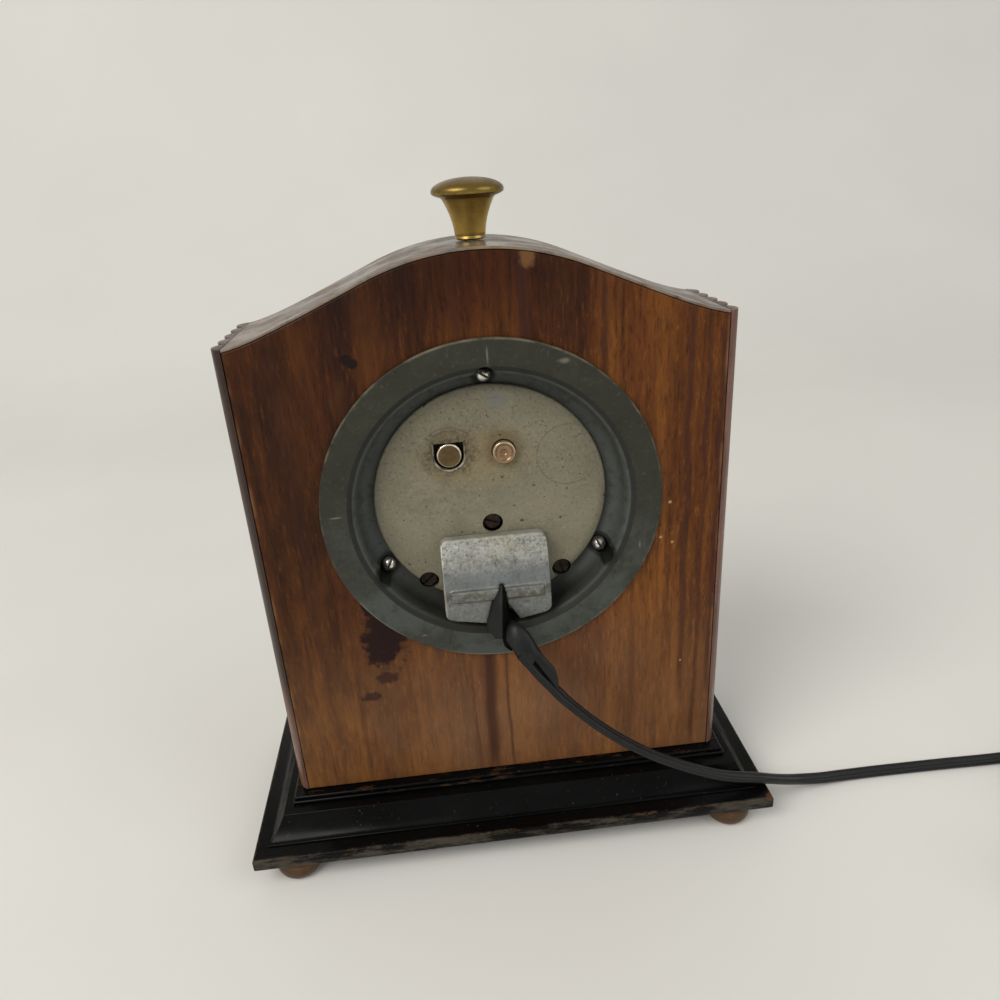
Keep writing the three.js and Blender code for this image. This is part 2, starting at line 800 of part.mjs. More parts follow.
// Round hole with a flat top, and the same outline grown for its lip
function startHoleShape(grow = 0) {
  const radius = startHoleRadius + grow;
  const top = startZ + startHoleTop + grow;
  const shape = new THREE.Shape();
  shape.moveTo(startX + radius, top);
  shape.lineTo(startX - radius, top);
  shape.lineTo(startX - radius, startZ);
  shape.absarc(startX, startZ, radius, Math.PI, 2 * Math.PI, false);
  shape.closePath();
  return shape;
}

// Bow embossed over the push button
function startArchShape() {
  const shape = new THREE.Shape();
  const inner = startArchRadius - startArchWidth;
  shape.absarc(startX, startZ, startArchRadius, startArchAngle, Math.PI - startArchAngle, false);
  shape.absarc(startX, startZ, inner, Math.PI - startArchAngle, startArchAngle, true);
  shape.closePath();
  return shape;
}

function buildCover() {
  const seat = channelFloor + seatGap;
  const inside = coverFace - coverSheet;
  const disc = revolve([
    [0, inside],
    [coverRadius - coverSkirt, inside],
    [coverRadius - coverSkirt, seat],
    [coverRadius, seat],
    [coverRadius, coverFace - coverEdgeRound],
    [coverRadius - coverEdgeRound * midRound, coverFace - coverEdgeRound * midRound],
    [coverRadius - coverEdgeRound, coverFace],
    [0, coverFace],
  ], 40);
  const embossFront = coverFace - embossHeight;
  const embossBack = coverFace + embossHeight;
  const lip = alongY(startHoleShape(startLipWidth), embossFront, embossBack, 8);
  const arch = alongY(startArchShape(), embossFront, embossBack, 8);
  const startHole = alongY(startHoleShape(), inside - cutOver, coverFace + cutOver, 8);
  const setHole = rod(setRadius + runGap, inside - cutOver, coverFace + cutOver, setX, setZ, 16);
  const holes = coverScrewPlaces.map(([x, z]) => rod(
    coverScrewHole, seat - cutOver, coverFace + cutOver, x, z, 16));
  const cover = cut(join(disc, lip, arch), startHole, setHole, ...holes);
  addPiece(movement, 'back_cover', cover, 'coverPaint');
  const shankFront = rearPlateFront - pillarThread;
  const headSeat = rearPlateBack + seatGap;
  coverScrewPlaces.forEach(([x, z], index) => {
    const body = screw(coverScrewRadius, coverScrewHeight, false, coverScrewShank, shankFront, headSeat);
    addPiece(movement, `cover_screw_${index + 1}`, body, 'brownedSteel', x, 0, z);
  });
}

// Evenly wound compression spring along Y
class Helix extends THREE.Curve {
  constructor(radius, front, back, coils) {
    super();
    Object.assign(this, { radius, front, back, coils });
  }

  getPoint(share, target = new THREE.Vector3()) {
    const angle = share * this.coils * 2 * Math.PI;
    const y = this.front + (this.back - this.front) * share;
    return target.set(this.radius * Math.cos(angle), y, this.radius * Math.sin(angle));
  }
}

// Least gap between the turns of a wound tube, measured on points of its skin
function printLeastGap(name, curve, turns, section) {
  const steps = Math.round(turns * gapStepsPerTurn);
  const frames = curve.computeFrenetFrames(steps);
  const outline = section.getSpacedPoints(gapPointsPerSection);
  const width = 2 * Math.max(...outline.map((point) => point.length()));
  const centres = curve.getSpacedPoints(steps);
  const skin = centres.map((centre, step) => outline.map((point) => centre.clone()
    .addScaledVector(frames.normals[step], point.x)
    .addScaledVector(frames.binormals[step], point.y)));
  let least = Infinity;
  for (let step = 0; step <= steps; step += 1) {
    for (let other = step + gapStepsPerTurn / 2; other <= steps; other += 1) {
      if (centres[step].distanceTo(centres[other]) > width + least) continue;
      for (const point of skin[step]) {
        for (const neighbour of skin[other]) {
          least = Math.min(least, point.distanceTo(neighbour));
        }
      }
    }
  }
  console.log(`${name}: least gap between its turns ${least.toFixed(2)} mm`);
}

function buildButtons() {
  const face = coverFace + startProud;
  const headFront = face - startHeadLength;
  const button = revolve([
    [0, gearCaseBack - seatGap],
    [startStemRadius, gearCaseBack - seatGap],
    [startStemRadius, headFront],
    [startRadius, headFront],
    [startRadius, face - startEdgeRound],
    [startRadius - startEdgeRound, face],
    [0, face],
  ], 18);
  addPiece(movement, 'start_button', button, 'steel', startX, 0, startZ);
  const springRadius = (startStemRadius + startRadius) / 2;
  const springFront = gearCaseBack + springWireRadius + seatGap;
  const springBack = headFront - springWireRadius - seatGap;
  const springWire = regularShape(springWireRadius, 5);
  const springLine = new Helix(springRadius, springFront, springBack, springCoils);
  const spring = new THREE.ExtrudeGeometry(springWire, {
    steps: springCoils * 8,
    bevelEnabled: false,
    extrudePath: springLine,
  });
  printLeastGap('start_spring', springLine, springCoils, springWire);
  addPiece(movement, 'start_spring', closedGeometry(spring), 'steel', startX, 0, startZ);

  const top = coverFace + setProud;
  const arborEnd = top - 2 * setDimpleDepth - seatGap;
  const knob = revolve([
    [setArborRadius + runGap, coverFace - setSkirt],
    [setRadius, coverFace - setSkirt],
    [setRadius, top - setFaceDepth],
    [setRadius - setFaceDepth, top],
    [setRadius - setRim, top],
    [setRadius - setRim - seatGap, top - setFaceDepth],
    [setDimpleRadius, top - setFaceDepth],
    [setDimpleRadius / 2, top - setDimpleDepth],
    [0, top - setDimpleDepth],
    [0, arborEnd + seatGap],
    [setArborRadius + runGap, arborEnd + seatGap],
  ], 18);
  addPiece(movement, 'set_knob', knob, 'steel', setX, 0, setZ);
  const arborFront = hourWheelY - wheelThickness - 2 * pinionFaceExtra;
  addPiece(movement, 'set_arbor', rod(setArborRadius, arborFront, arborEnd), 'steel', setX, 0, setZ);
}

// Hood: side profile run across and trimmed by its front outline
function hoodSolid(shrink, floor) {
  const half = hoodWidth / 2 - shrink;
  const top = hoodTop - shrink;
  const low = hoodBottom + shrink;
  const outer = coverFace + hoodDepthBottom - shrink;
  const topFace = coverFace + hoodDepthTop - shrink;
  const profile = new THREE.Shape();
  profile.moveTo(floor, low);
  profile.lineTo(outer, low);
  profile.bezierCurveTo(
    outer, hoodBandBottom + hoodBandHeight,
    outer - hoodBulgeInset, hoodTop - hoodBulgeDrop,
    topFace, top - hoodTopChamfer,
  );
  profile.lineTo(topFace - hoodTopChamfer, top);
  profile.lineTo(floor, top);
  profile.closePath();
  const outline = new THREE.Shape();
  const radius = hoodCornerRadius - shrink;
  const corner = hoodBottom + hoodCornerRise + shrink;
  const ease = hoodCornerRadius * hoodCornerEase;
  outline.moveTo(-half, corner + ease);
  outline.quadraticCurveTo(-half, corner, -half + 2 * ease, corner - ease / 3);
  outline.lineTo(0, low);
  outline.lineTo(half - 2 * ease, corner - ease / 3);
  outline.quadraticCurveTo(half, corner, half, corner + ease);
  outline.lineTo(half, top - radius);
  outline.absarc(half - radius, top - radius, radius, 0, Math.PI / 2, false);
  outline.absarc(-half + radius, top - radius, radius, Math.PI / 2, Math.PI, false);
  outline.closePath();
  return common(
    alongX(profile, -half - cutOver, half + cutOver, 10),
    alongY(outline, floor - cutOver, coverFace + 2 * hoodDepthBottom, 4),
  );
}

function buildHood() {
  const floor = coverFace + seatGap;
  const band = new THREE.Shape();
  const bandHalf = hoodWidth / 2 - hoodBandMargin;
  band.moveTo(-bandHalf, hoodBandBottom);
  band.lineTo(bandHalf, hoodBandBottom);
  band.lineTo(bandHalf, hoodBandBottom + hoodBandHeight);
  band.lineTo(-bandHalf, hoodBandBottom + hoodBandHeight);
  const bandFace = coverFace + hoodDepthBottom + hoodBandRise;
  const bandSolid = alongY(band, bandFace - hoodWall, bandFace);
  const notch = new THREE.Shape(notchOutline.map(([x, z]) => new THREE.Vector2(x - hoodX, z)));
  const notchSolid = alongY(notch, coverFace + hoodDepthTop, coverFace + 2 * hoodDepthBottom);
  const hollow = hoodSolid(hoodWall, floor - cutOver);
  const shell = cut(join(hoodSolid(0, floor), bandSolid), hollow, notchSolid);
  addPiece(movement, 'terminal_hood', shell, 'zinc', hoodX);

  const blockZ = hoodTop - hoodWall - blockDrop - blockHeight / 2;
  const blockBack = floor + blockThickness;
  const sockets = [-1, 1].map((side) => rod(
    pinRadius + glueGap, floor + socketFloor, blockBack + cutOver, side * pinSpacing / 2, blockZ));
  const body = block(blockWidth, blockThickness, blockHeight, 0, floor + blockThickness / 2, blockZ);
  addPiece(movement, 'terminal_block', cut(body, ...sockets), 'bakelite');
  for (const [name, side] of [['left', 1], ['right', -1]]) {
    const front = floor + socketFloor + glueGap;
    const pin = rod(pinRadius, front, front + pinLength);
    addPiece(movement, `terminal_pin_${name}`, pin, 'brass', side * pinSpacing / 2, 0, blockZ);
  }
}

function buildFrame() {
  const rear = circleShape(plateRadius);
  roundHole(rear, startRadius + runGap, startX, startZ);
  roundHole(rear, setArborRadius + runGap, setX, setZ);
  roundHole(rear, shaftRadius + runGap, 0, rotorZ);
  coverScrewPlaces.forEach(([x, z]) => roundHole(rear, coverScrewShank + glueGap, x, z));
  addPiece(movement, 'rear_plate', alongY(rear, rearPlateFront, rearPlateBack, 7), 'brass');
  const front = circleShape(plateRadius);
  roundHole(front, setArborRadius + runGap, setX, setZ);
  roundHole(front, shaftRadius + runGap);
  addPiece(movement, 'front_plate', alongY(front, frontPlateFront, frontPlateBack, 7), 'brass');
  pillarPlaces.forEach(([x, z], index) => {
    const boreFront = rearPlateFront - pillarThread - seatGap;
    const bore = rod(coverScrewShank + glueGap, boreFront, rearPlateFront + cutOver, x, z, 12);
    const bar = rod(pillarRadius, frontPlateBack + glueGap, rearPlateFront - glueGap, x, z, 16);
    const geometry = z < 0 ? cut(bar, bore) : bar;
    addPiece(movement, `pillar_${index + 1}`, geometry, 'brass');
  });
}

function buildMotor() {
  const stackFront = stackY - stackThickness / 2;
  const stackBack = stackY + stackThickness / 2;
  const core = new THREE.Shape();
  const inner = stackHalfWidth - limbWidth;
  core.moveTo(-stackHalfWidth, limbBottom);
  core.lineTo(stackHalfWidth, limbBottom);
  core.lineTo(stackHalfWidth, stackTop);
  core.lineTo(poleGapHalf, stackTop);
  core.lineTo(poleGapHalf, stackWindowTop);
  core.lineTo(inner, stackWindowTop);
  core.lineTo(inner, limbTop);
  core.lineTo(-inner, limbTop);
  core.lineTo(-inner, stackWindowTop);
  core.lineTo(-poleGapHalf, stackWindowTop);
  core.lineTo(-poleGapHalf, stackTop);
  core.lineTo(-stackHalfWidth, stackTop);
  core.closePath();
  const rotorRoom = rod(rotorRadius + rotorGap, stackFront - cutOver, stackBack + cutOver, 0, rotorZ, 40);
  addPiece(movement, 'stator_core', cut(alongY(core, stackFront, stackBack), rotorRoom), 'iron');

  // Bobbin and winding lie along X on the lower limb
  const limbZ = (limbTop + limbBottom) / 2;
  const limbHeight = limbTop - limbBottom;
  const half = inner - seatGap;
  const bobbin = revolve([
    [0, -half],
    [bobbinRadius, -half],
    [bobbinRadius, -half + bobbinFlange],
    [bobbinCoreRadius, -half + bobbinFlange],
    [bobbinCoreRadius, half - bobbinFlange],
    [bobbinRadius, half - bobbinFlange],
    [bobbinRadius, half],
    [0, half],
  ], 20).rotateZ(Math.PI / 2).translate(0, stackY, limbZ);
  const windowDepth = stackThickness + 2 * glueGap;
  const window = block(2 * (half + cutOver), windowDepth, limbHeight + 2 * glueGap, 0, stackY, limbZ);
  addPiece(movement, 'coil_bobbin', cut(bobbin, window), 'bakelite');
  const windingHalf = half - bobbinFlange - glueGap;
  const winding = revolve([
    [bobbinCoreRadius + glueGap, -windingHalf],
    [windingRadius, -windingHalf],
    [windingRadius, windingHalf],
    [bobbinCoreRadius + glueGap, windingHalf],
  ], 20).rotateZ(Math.PI / 2).translate(0, stackY, limbZ);
  addPiece(movement, 'coil_winding', winding, 'copper');

  const rotorFront = stackY - rotorLength / 2;
  const slotted = new THREE.Shape();
  for (let tooth = 0; tooth < rotorTeeth; tooth += 1) {
    const pitch = 2 * Math.PI / rotorTeeth;
    rotorToothOutline.forEach(([share, depth], index) => {
      const angle = (tooth + share) * pitch;
      const radius = rotorRadius - rotorSlotDepth * depth;
      const x = radius * Math.cos(angle);
      const z = radius * Math.sin(angle);
      if (tooth + index === 0) slotted.moveTo(x, z);
      else slotted.lineTo(x, z);
    });
  }
  slotted.closePath();
  const body = alongY(slotted, rotorFront, rotorFront + rotorLength);
  const shaft = rod(shaftRadius, gearCaseBack - gearCaseBoreDepth + endGap, rearPlateBack, 0, 0, 12);
  addPiece(movement, 'rotor', join(body, shaft), 'steel', 0, 0, rotorZ);

  const outline = new THREE.Shape();
  const flat = Math.asin(gearCaseBottom / gearCaseRadius);
  outline.absarc(0, 0, gearCaseRadius, flat, Math.PI - flat, false);
  outline.closePath();
  const boreFront = gearCaseFront - cutOver;
  const boreBack = gearCaseBack + cutOver;
  const bores = [
    rod(shaftRadius + runGap, gearCaseBack - gearCaseBoreDepth, boreBack, 0, rotorZ, 12),
    rod(shaftRadius + runGap, boreFront, gearCaseFront + gearCaseBoreDepth - endGap, 0, 0, 12),
    rod(setArborRadius + runGap, boreFront, boreBack, setX, setZ, 16),
    rod(startStemRadius + runGap, gearCaseBack - startTravel - endGap, boreBack, startX, startZ, 16),
  ];
  addPiece(movement, 'gear_case', cut(alongY(outline, gearCaseFront, gearCaseBack), ...bores), 'brass');
}

// Straight-flanked clock tooth with a little backlash
function gearShape(teeth, module, boreRadius, phase) {
  const pitchRadius = teeth * module / 2;
  const tip = pitchRadius + toothTipHeight * module;
  const root = pitchRadius - toothRootDepth * module;
  const pitch = 2 * Math.PI / teeth;
  const shape = new THREE.Shape();
  for (let tooth = 0; tooth < teeth; tooth += 1) {
    const corners = [
      [-toothRootShare, root], [-toothTipShare, tip], [toothTipShare, tip], [toothRootShare, root],
    ];
    corners.forEach(([share, radius], index) => {
      const angle = phase + (tooth + share) * pitch;
      const x = radius * Math.cos(angle);
      const z = radius * Math.sin(angle);
      if (tooth + index === 0) shape.moveTo(x, z);
      else shape.lineTo(x, z);
    });
  }
  shape.closePath();
  roundHole(shape, boreRadius);
  return shape;
}

function pipe(inner, outer, front, back, sides = 12) {
  return revolve([[inner, front], [outer, front], [outer, back], [inner, back]], sides);
}

function buildMotionWork() {
  const towardsHands = setAngle + Math.PI;
  const arborBore = setArborRadius + glueGap;
  const wheelFront = minuteWheelY - wheelThickness;
  const pinionFront = hourWheelY - wheelThickness - pinionFaceExtra;
  const wheel = alongY(
    gearShape(minuteWheelTeeth, gearModule, arborBore, towardsHands + Math.PI / minuteWheelTeeth),
    wheelFront, minuteWheelY, 6);
  const pinion = alongY(
    gearShape(minutePinionTeeth, hourModule, arborBore, towardsHands + Math.PI / minutePinionTeeth),
    pinionFront, wheelFront + joinOver, 6);
  addPiece(movement, 'minute_wheel', join(wheel, pinion), 'brass', setX, 0, setZ);

  const cannonBore = shaftRadius + glueGap;
  const cannonBack = minuteWheelY + pinionFaceExtra;
  const leaves = alongY(gearShape(cannonTeeth, gearModule, cannonBore, setAngle),
    wheelFront - pinionFaceExtra, cannonBack, 6);
  const tube = pipe(cannonBore, cannonTubeRadius, minuteHandY - handThickness, cannonBack - joinOver);
  addPiece(movement, 'cannon_pinion', join(leaves, tube), 'steel');

  const hourBore = cannonTubeRadius + runGap;
  const hourWheel = alongY(gearShape(hourTeeth, hourModule, hourBore, setAngle),
    hourWheelY - wheelThickness, hourWheelY, 6);
  const hourPipe = pipe(hourBore, hourPipeRadius, hourHandY - handThickness, hourWheelY - joinOver);
  addPiece(movement, 'hour_wheel', join(hourWheel, hourPipe), 'brass');
  const arborEnd = gearCaseFront + gearCaseBoreDepth - 2 * endGap;
  const arbor = rod(shaftRadius, nutY - nutThickness, arborEnd);
  addPiece(movement, 'centre_arbor', arbor, 'steel');
}

// Tapered blade with a round boss, drawn pointing up and turned clockwise to its time
function handGeometry(length, bossRadius, boreRadius, width, front, turn) {
  const shape = new THREE.Shape();
  const spread = Math.asin(width / 2 / bossRadius);
  const tail = width * handTailShare;
  shape.moveTo(tail / 2, -handTail);
  shape.lineTo(width / 2, -bossRadius * Math.cos(spread));
  shape.absarc(0, 0, bossRadius, -Math.PI / 2 + spread, Math.PI / 2 - spread, false);
  shape.lineTo(width * handWidestShare, length * handWidestShare);
  shape.lineTo(0, length);
  shape.lineTo(-width * handWidestShare, length * handWidestShare);
  shape.absarc(0, 0, bossRadius, Math.PI / 2 + spread, 1.5 * Math.PI - spread, false);
  shape.lineTo(-tail / 2, -handTail);
  shape.closePath();
  roundHole(shape, boreRadius);
  return alongY(shape, front, front + handThickness, 5).rotateY(turn);
}

function buildFront() {
  const sleeveRadius = frontHoleRadius - seatGap;
  const sleeveInner = sleeveRadius - bezelSleeve;
  const seat = frontFace - glueGap;
  const glassSeat = seat - glassSeatRise;
  addPiece(movement, 'bezel', revolve([
    [sleeveInner, frontRingFront - seatGap],
    [sleeveRadius, frontRingFront - seatGap],
    [sleeveRadius, seat],
    ...bezelOutline.map(([inset, rise]) => [bezelRadius - inset, seat - rise]),
    [bezelLipRadius, glassSeat - bezelLip],
    [bezelLipRadius, glassSeat],
    [sleeveInner, glassSeat],
  ].reverse(), 34), 'brass');

  const rim = sleeveInner - seatGap;
  const lipSwell = glassDome * (1 - (bezelLipRadius / rim) ** 2);
  const glassBack = glassSeat + lipSwell + seatGap + glassThickness;
  const dome = (depth, back) => {
    const radius = (rim * rim + depth * depth) / (2 * depth);
    const points = [];
    const steps = 4;
    for (let step = 0; step <= steps; step += 1) {
      const r = rim * (1 - step / steps);
      points.push([r, back - depth + radius - Math.sqrt(radius * radius - r * r)]);
    }
    return points;
  };
  const inside = dome(glassDome, glassBack);
  const outside = dome(glassDome, glassBack - glassThickness).reverse();
  addPiece(movement, 'glass', revolve([...outside, ...inside], 26), 'glass');

  const dial = circleShape(rim);
  roundHole(dial, hourPipeRadius + runGap);
  addPiece(movement, 'dial', alongY(dial, dialFront, dialBack, 16), 'dialPaint');
  const ring = circleShape(sleeveRadius);
  roundHole(ring, sleeveRadius - frontRingWidth);
  caseScrewAngles.forEach((angle) => {
    roundHole(ring, caseScrewRadius + glueGap, ...polar(caseScrewCircle, angle));
  });
  addPiece(movement, 'front_ring', alongY(ring, frontRingFront, frontRingBack, 9), 'steel');

  const minuteTurn = minuteAtRest / 60 * 2 * Math.PI;
  const hourTurn = (hourAtRest + minuteAtRest / 60) / 12 * 2 * Math.PI;
  const hourHand = handGeometry(
    hourHandLength,
    hourPipeRadius + handBossRim,
    hourPipeRadius + glueGap,
    hourHandWidth,
    hourHandY - handThickness,
    hourTurn,
  );
  addPiece(movement, 'hour_hand', hourHand, 'handPaint');
  const minuteHand = handGeometry(
    minuteHandLength,
    cannonTubeRadius + handBossRim,
    cannonTubeRadius + glueGap,
    minuteHandWidth,
    minuteHandY - handThickness,
    minuteTurn,
  );
  addPiece(movement, 'minute_hand', minuteHand, 'handPaint');
  const nut = pipe(shaftRadius + glueGap, nutRadius, nutY - nutThickness, nutY, 6);
  addPiece(movement, 'hand_nut', nut, 'brass');
}

// Curve whose section stays level: its first axis horizontal, its second one upwards
function levelFrames(curve, segments) {
  const up = new THREE.Vector3(0, 0, 1);
  const frames = { tangents: [], normals: [], binormals: [] };
  for (let step = 0; step <= segments; step += 1) {
    const tangent = curve.getTangentAt(step / segments);
    const normal = new THREE.Vector3().crossVectors(up, tangent).normalize();
    frames.tangents.push(tangent);
    frames.normals.push(normal);
    frames.binormals.push(new THREE.Vector3().crossVectors(tangent, normal));
  }
  return frames;
}

class FlexRoute extends THREE.CatmullRomCurve3 {
  computeFrenetFrames(segments) {
    return levelFrames(this, segments);
  }
}

// Piled loops: in and out at a steady rate, each layer climbed in the half turn that reverses
class FlexCoil extends THREE.Curve {
  constructor(centre, startLead, endLead) {
    super();
    this.arcLengthDivisions = 2000;
    const meanRadius = coilOuterRadius - coilPitch * coilTurnsPerLayer / 2;
    this.turns = coilLayers * coilTurnsPerLayer + (coilLayers - 1) / 2;
    this.turnLength = 2 * Math.PI * meanRadius;
    Object.assign(this, { centre, startLead, endLead });
  }

  getPoint(share, target = new THREE.Vector3()) {
    const whole = this.turns + (this.startLead + this.endLead) / this.turnLength;
    const turn = share * whole - this.startLead / this.turnLength;
    const inside = Math.min(Math.max(turn, 0), this.turns);
    const layer = Math.min(Math.floor(inside / (coilTurnsPerLayer + 0.5)), coilLayers - 1);
    const along = inside - layer * (coilTurnsPerLayer + 0.5);
    const reversal = coilTurnsPerLayer + 0.25;
    const wound = reversal - Math.abs(along - reversal);
    const climb = Math.min(Math.max((along - reversal) / coilClimbTurns + 0.5, 0), 1);
    const radius = coilOuterRadius - coilPitch * (layer % 2 === 0 ? wound : coilTurnsPerLayer - wound);
    const lift = coilLayerPitch * (layer + (1 - Math.cos(Math.PI * climb)) / 2);
    const angle = -Math.PI / 2 - inside * 2 * Math.PI;
    const over = (turn - inside) * this.turnLength;
    return target.set(
      this.centre.x + radius * Math.cos(angle) + over * Math.sin(angle),
      this.centre.y + radius * Math.sin(angle) - over * Math.cos(angle),
      this.centre.z + lift,
    );
  }

  computeFrenetFrames(segments) {
    return levelFrames(this, segments);
  }
}

// Flat twin section: two round lobes side by side
function flexSection(sides) {
  const lobe = flexThickness / 2;
  const offset = flexWidth / 2 - lobe;
  const half = sides / 2;
  const points = [];
  for (let side = 0; side < sides; side += 1) {
    const right = side < half;
    const angle = (side % half) / (half - 1) * Math.PI - Math.PI / 2 + (right ? 0 : Math.PI);
    const middle = right ? offset : -offset;
    points.push(new THREE.Vector2(middle + lobe * Math.cos(angle), lobe * Math.sin(angle)));
  }
  return new THREE.Shape(points);
}

function sweepFlex(route, steps, sides) {
  const geometry = new THREE.ExtrudeGeometry(flexSection(sides), {
    steps,
    bevelEnabled: false,
    extrudePath: route,
  });
  return closedGeometry(geometry);
}

// Round sleeve that tapers along its curve
function taperedTube(curve, steps, sides, startRadius, endRadius) {
  const frames = levelFrames(curve, steps);
  const vertices = [];
  const faces = [];
  for (let step = 0; step <= steps; step += 1) {
    const centre = curve.getPointAt(step / steps);
    const radius = startRadius + (endRadius - startRadius) * step / steps;
    for (let side = 0; side < sides; side += 1) {
      const angle = side / sides * 2 * Math.PI;
      const point = centre.clone()
        .addScaledVector(frames.normals[step], radius * Math.cos(angle))
        .addScaledVector(frames.binormals[step], radius * Math.sin(angle));
      vertices.push(point.x, point.y, point.z);
      const next = (side + 1) % sides;
      const low = step * sides;
      const high = low + sides;
      if (step < steps) {
        faces.push(low + side, low + next, high + next, low + side, high + next, high + side);
      }
    }
  }
  const last = steps * sides;
  for (let side = 1; side < sides - 1; side += 1) {
    faces.push(0, side + 1, side, last, last + side, last + side + 1);
  }
  const geometry = new THREE.BufferGeometry();
  geometry.setAttribute('position', new THREE.Float32BufferAttribute(vertices, 3));
  geometry.setIndex(faces);
  return closedGeometry(geometry);
}

function buildFlex() {
  const floorZ = floorGap + flexThickness / 2;
  const vector = (x, y, z) => new THREE.Vector3(x, y, z);
  const sleeveRoute = new THREE.CatmullRomCurve3(sleevePlaces.map((place) => vector(...place)));
  const sleeve = taperedTube(sleeveRoute, 12, 10, sleeveStartRadius, sleeveEndRadius);
  addPiece(clock, 'flex_sleeve', sleeve, 'flexRubber');

  const coilZ = tieThickness + floorGap + seatGap + flexThickness / 2;
  const coilY = coilEntryY + coilOuterRadius;
  const coil = new FlexCoil(vector(coilCentreX, coilY, coilZ), coilStartLead, coilEndLead);
  const coilStart = coil.getPoint(0);
  const route = new FlexRoute([
    ...flexPlaces.map((place) => vector(...place)),
    ...flexFloorPlaces.map(([x, y]) => vector(x, y, floorZ)),
    vector(coilStart.x + flexWidth + seatGap, coilStart.y, coilZ),
    vector(coilStart.x + seatGap, coilStart.y, coilZ),
  ], false, 'centripetal');
  const flexSteps = Math.round(route.getLength() / flexStep);
  addPiece(clock, 'flex', sweepFlex(route, flexSteps, 8), 'flexRubber');
  const coilGeometry = sweepFlex(coil, Math.round(coil.turns * 24), 6);
  addPiece(clock, 'flex_coil', coilGeometry, 'flexRubber');
  printLeastGap('flex_coil', coil, coil.turns, flexSection(6));

  // Tie: a flat band round the bundle on the side towards the clock, where one turn swells out
  const inner = coilOuterRadius - coilPitch * coilTurnsPerLayer - flexWidth / 2 - seatGap;
  const outer = coilOuterRadius + coilPitch / 4 + flexWidth / 2 + seatGap;
  const low = coilZ - flexThickness / 2 - seatGap;
  const high = low + coilLayerPitch * (coilLayers - 1) + flexThickness + 2 * seatGap;
  const band = new THREE.Shape();
  const hole = new THREE.Path();
  const frame = (path, margin) => {
    path.moveTo(inner - margin, low - margin);
    path.lineTo(outer + margin, low - margin);
    path.lineTo(outer + margin, high + margin);
    path.lineTo(inner - margin, high + margin);
    path.closePath();
  };
  frame(band, tieThickness);
  frame(hole, 0);
  band.holes.push(hole);
  const tie = alongY(band, -tieWidth / 2, tieWidth / 2);
  addPiece(clock, 'flex_tie', tie, 'flexRubber', coilCentreX, coilY, 0);

  const coilEnd = coil.getPoint(1);
  const plugRadius = coilEnd.z - floorGap;
  const grip = revolve([
    [0, 0],
    [plugEntryRadius, 0],
    ...plugOutline.map(([reach, share]) => [plugRadius * reach, plugLength * share]),
    [plugRadius, plugLength - plugChamfer],
    [plugRadius - plugChamfer, plugLength],
    [0, plugLength],
  ], 18);
  const prongs = [-1, 1].map((side) => rod(
    plugPinRadius, plugLength - cutOver, plugLength + plugPinLength, side * plugPinSpacing / 2, 0, 12));
  const plug = join(grip, ...prongs).rotateZ(-Math.PI / 2);
  addPiece(clock, 'plug', plug, 'bakelite', coilEnd.x + seatGap, coilEnd.y, coilEnd.z);
}

buildCase();
buildPlinth();
buildKnob();
buildRing();
buildCover();
buildButtons();
buildHood();
buildFrame();
buildMotor();
buildMotionWork();
buildFront();
buildFlex();

export default clock;
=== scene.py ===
"""Dresses the packed mantel clock: turned, cut and cast pieces with their finishes, the flex and the stage.

Metres, +Z up, dial towards -Y, back towards +Y, as in the frame.
"""

import json
import math

import bmesh
import bpy
from bpy.props import FloatProperty, FloatVectorProperty, IntProperty, PointerProperty
from mathutils import Matrix, Vector, noise

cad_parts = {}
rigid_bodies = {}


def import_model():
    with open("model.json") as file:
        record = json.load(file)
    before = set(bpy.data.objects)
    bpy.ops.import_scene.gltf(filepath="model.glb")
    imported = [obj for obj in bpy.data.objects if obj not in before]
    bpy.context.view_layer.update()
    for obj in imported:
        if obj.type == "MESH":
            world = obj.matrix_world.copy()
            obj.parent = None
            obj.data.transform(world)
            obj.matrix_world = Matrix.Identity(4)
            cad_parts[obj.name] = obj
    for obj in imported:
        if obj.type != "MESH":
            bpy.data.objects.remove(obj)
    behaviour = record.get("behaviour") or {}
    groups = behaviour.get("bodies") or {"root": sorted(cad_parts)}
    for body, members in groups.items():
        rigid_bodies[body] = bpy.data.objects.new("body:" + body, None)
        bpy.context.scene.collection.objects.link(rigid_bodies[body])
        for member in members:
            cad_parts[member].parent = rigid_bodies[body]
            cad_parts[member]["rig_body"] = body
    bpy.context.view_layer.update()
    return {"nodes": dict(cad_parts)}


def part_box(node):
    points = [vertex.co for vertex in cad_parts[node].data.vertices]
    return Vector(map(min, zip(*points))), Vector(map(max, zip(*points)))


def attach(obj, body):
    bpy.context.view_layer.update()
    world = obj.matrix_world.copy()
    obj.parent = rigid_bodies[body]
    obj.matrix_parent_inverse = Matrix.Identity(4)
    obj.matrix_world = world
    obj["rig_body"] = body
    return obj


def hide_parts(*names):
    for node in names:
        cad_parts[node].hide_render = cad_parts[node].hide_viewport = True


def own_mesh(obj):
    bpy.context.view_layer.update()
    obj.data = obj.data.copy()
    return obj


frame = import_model()

bl_info = {
    "name": "Mantel clock dressing",
    "version": (1, 0, 0),
    "blender": (4, 5, 0),
    "location": "3D View > Sidebar > Clock",
    "description": "Builds the visible pieces of an electric mantel clock round its packed solids",
    "category": "Object",
}

MM = 0.001

# How far the cover's seat and its face stand over the channel's floor, and the dial's print over its enamel
SEAT_RISE = 0.3 * MM
COVER_RISE = 2.1 * MM
INK = 0.06 * MM

CASE_SCREWS = ("case_screw_1", "case_screw_2", "case_screw_3")
COVER_SCREWS = ("cover_screw_1", "cover_screw_2", "cover_screw_3")


def low(node):
    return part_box(node)[0]


def high(node):
    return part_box(node)[1]


def middle(node):
    return (low(node) + high(node)) / 2


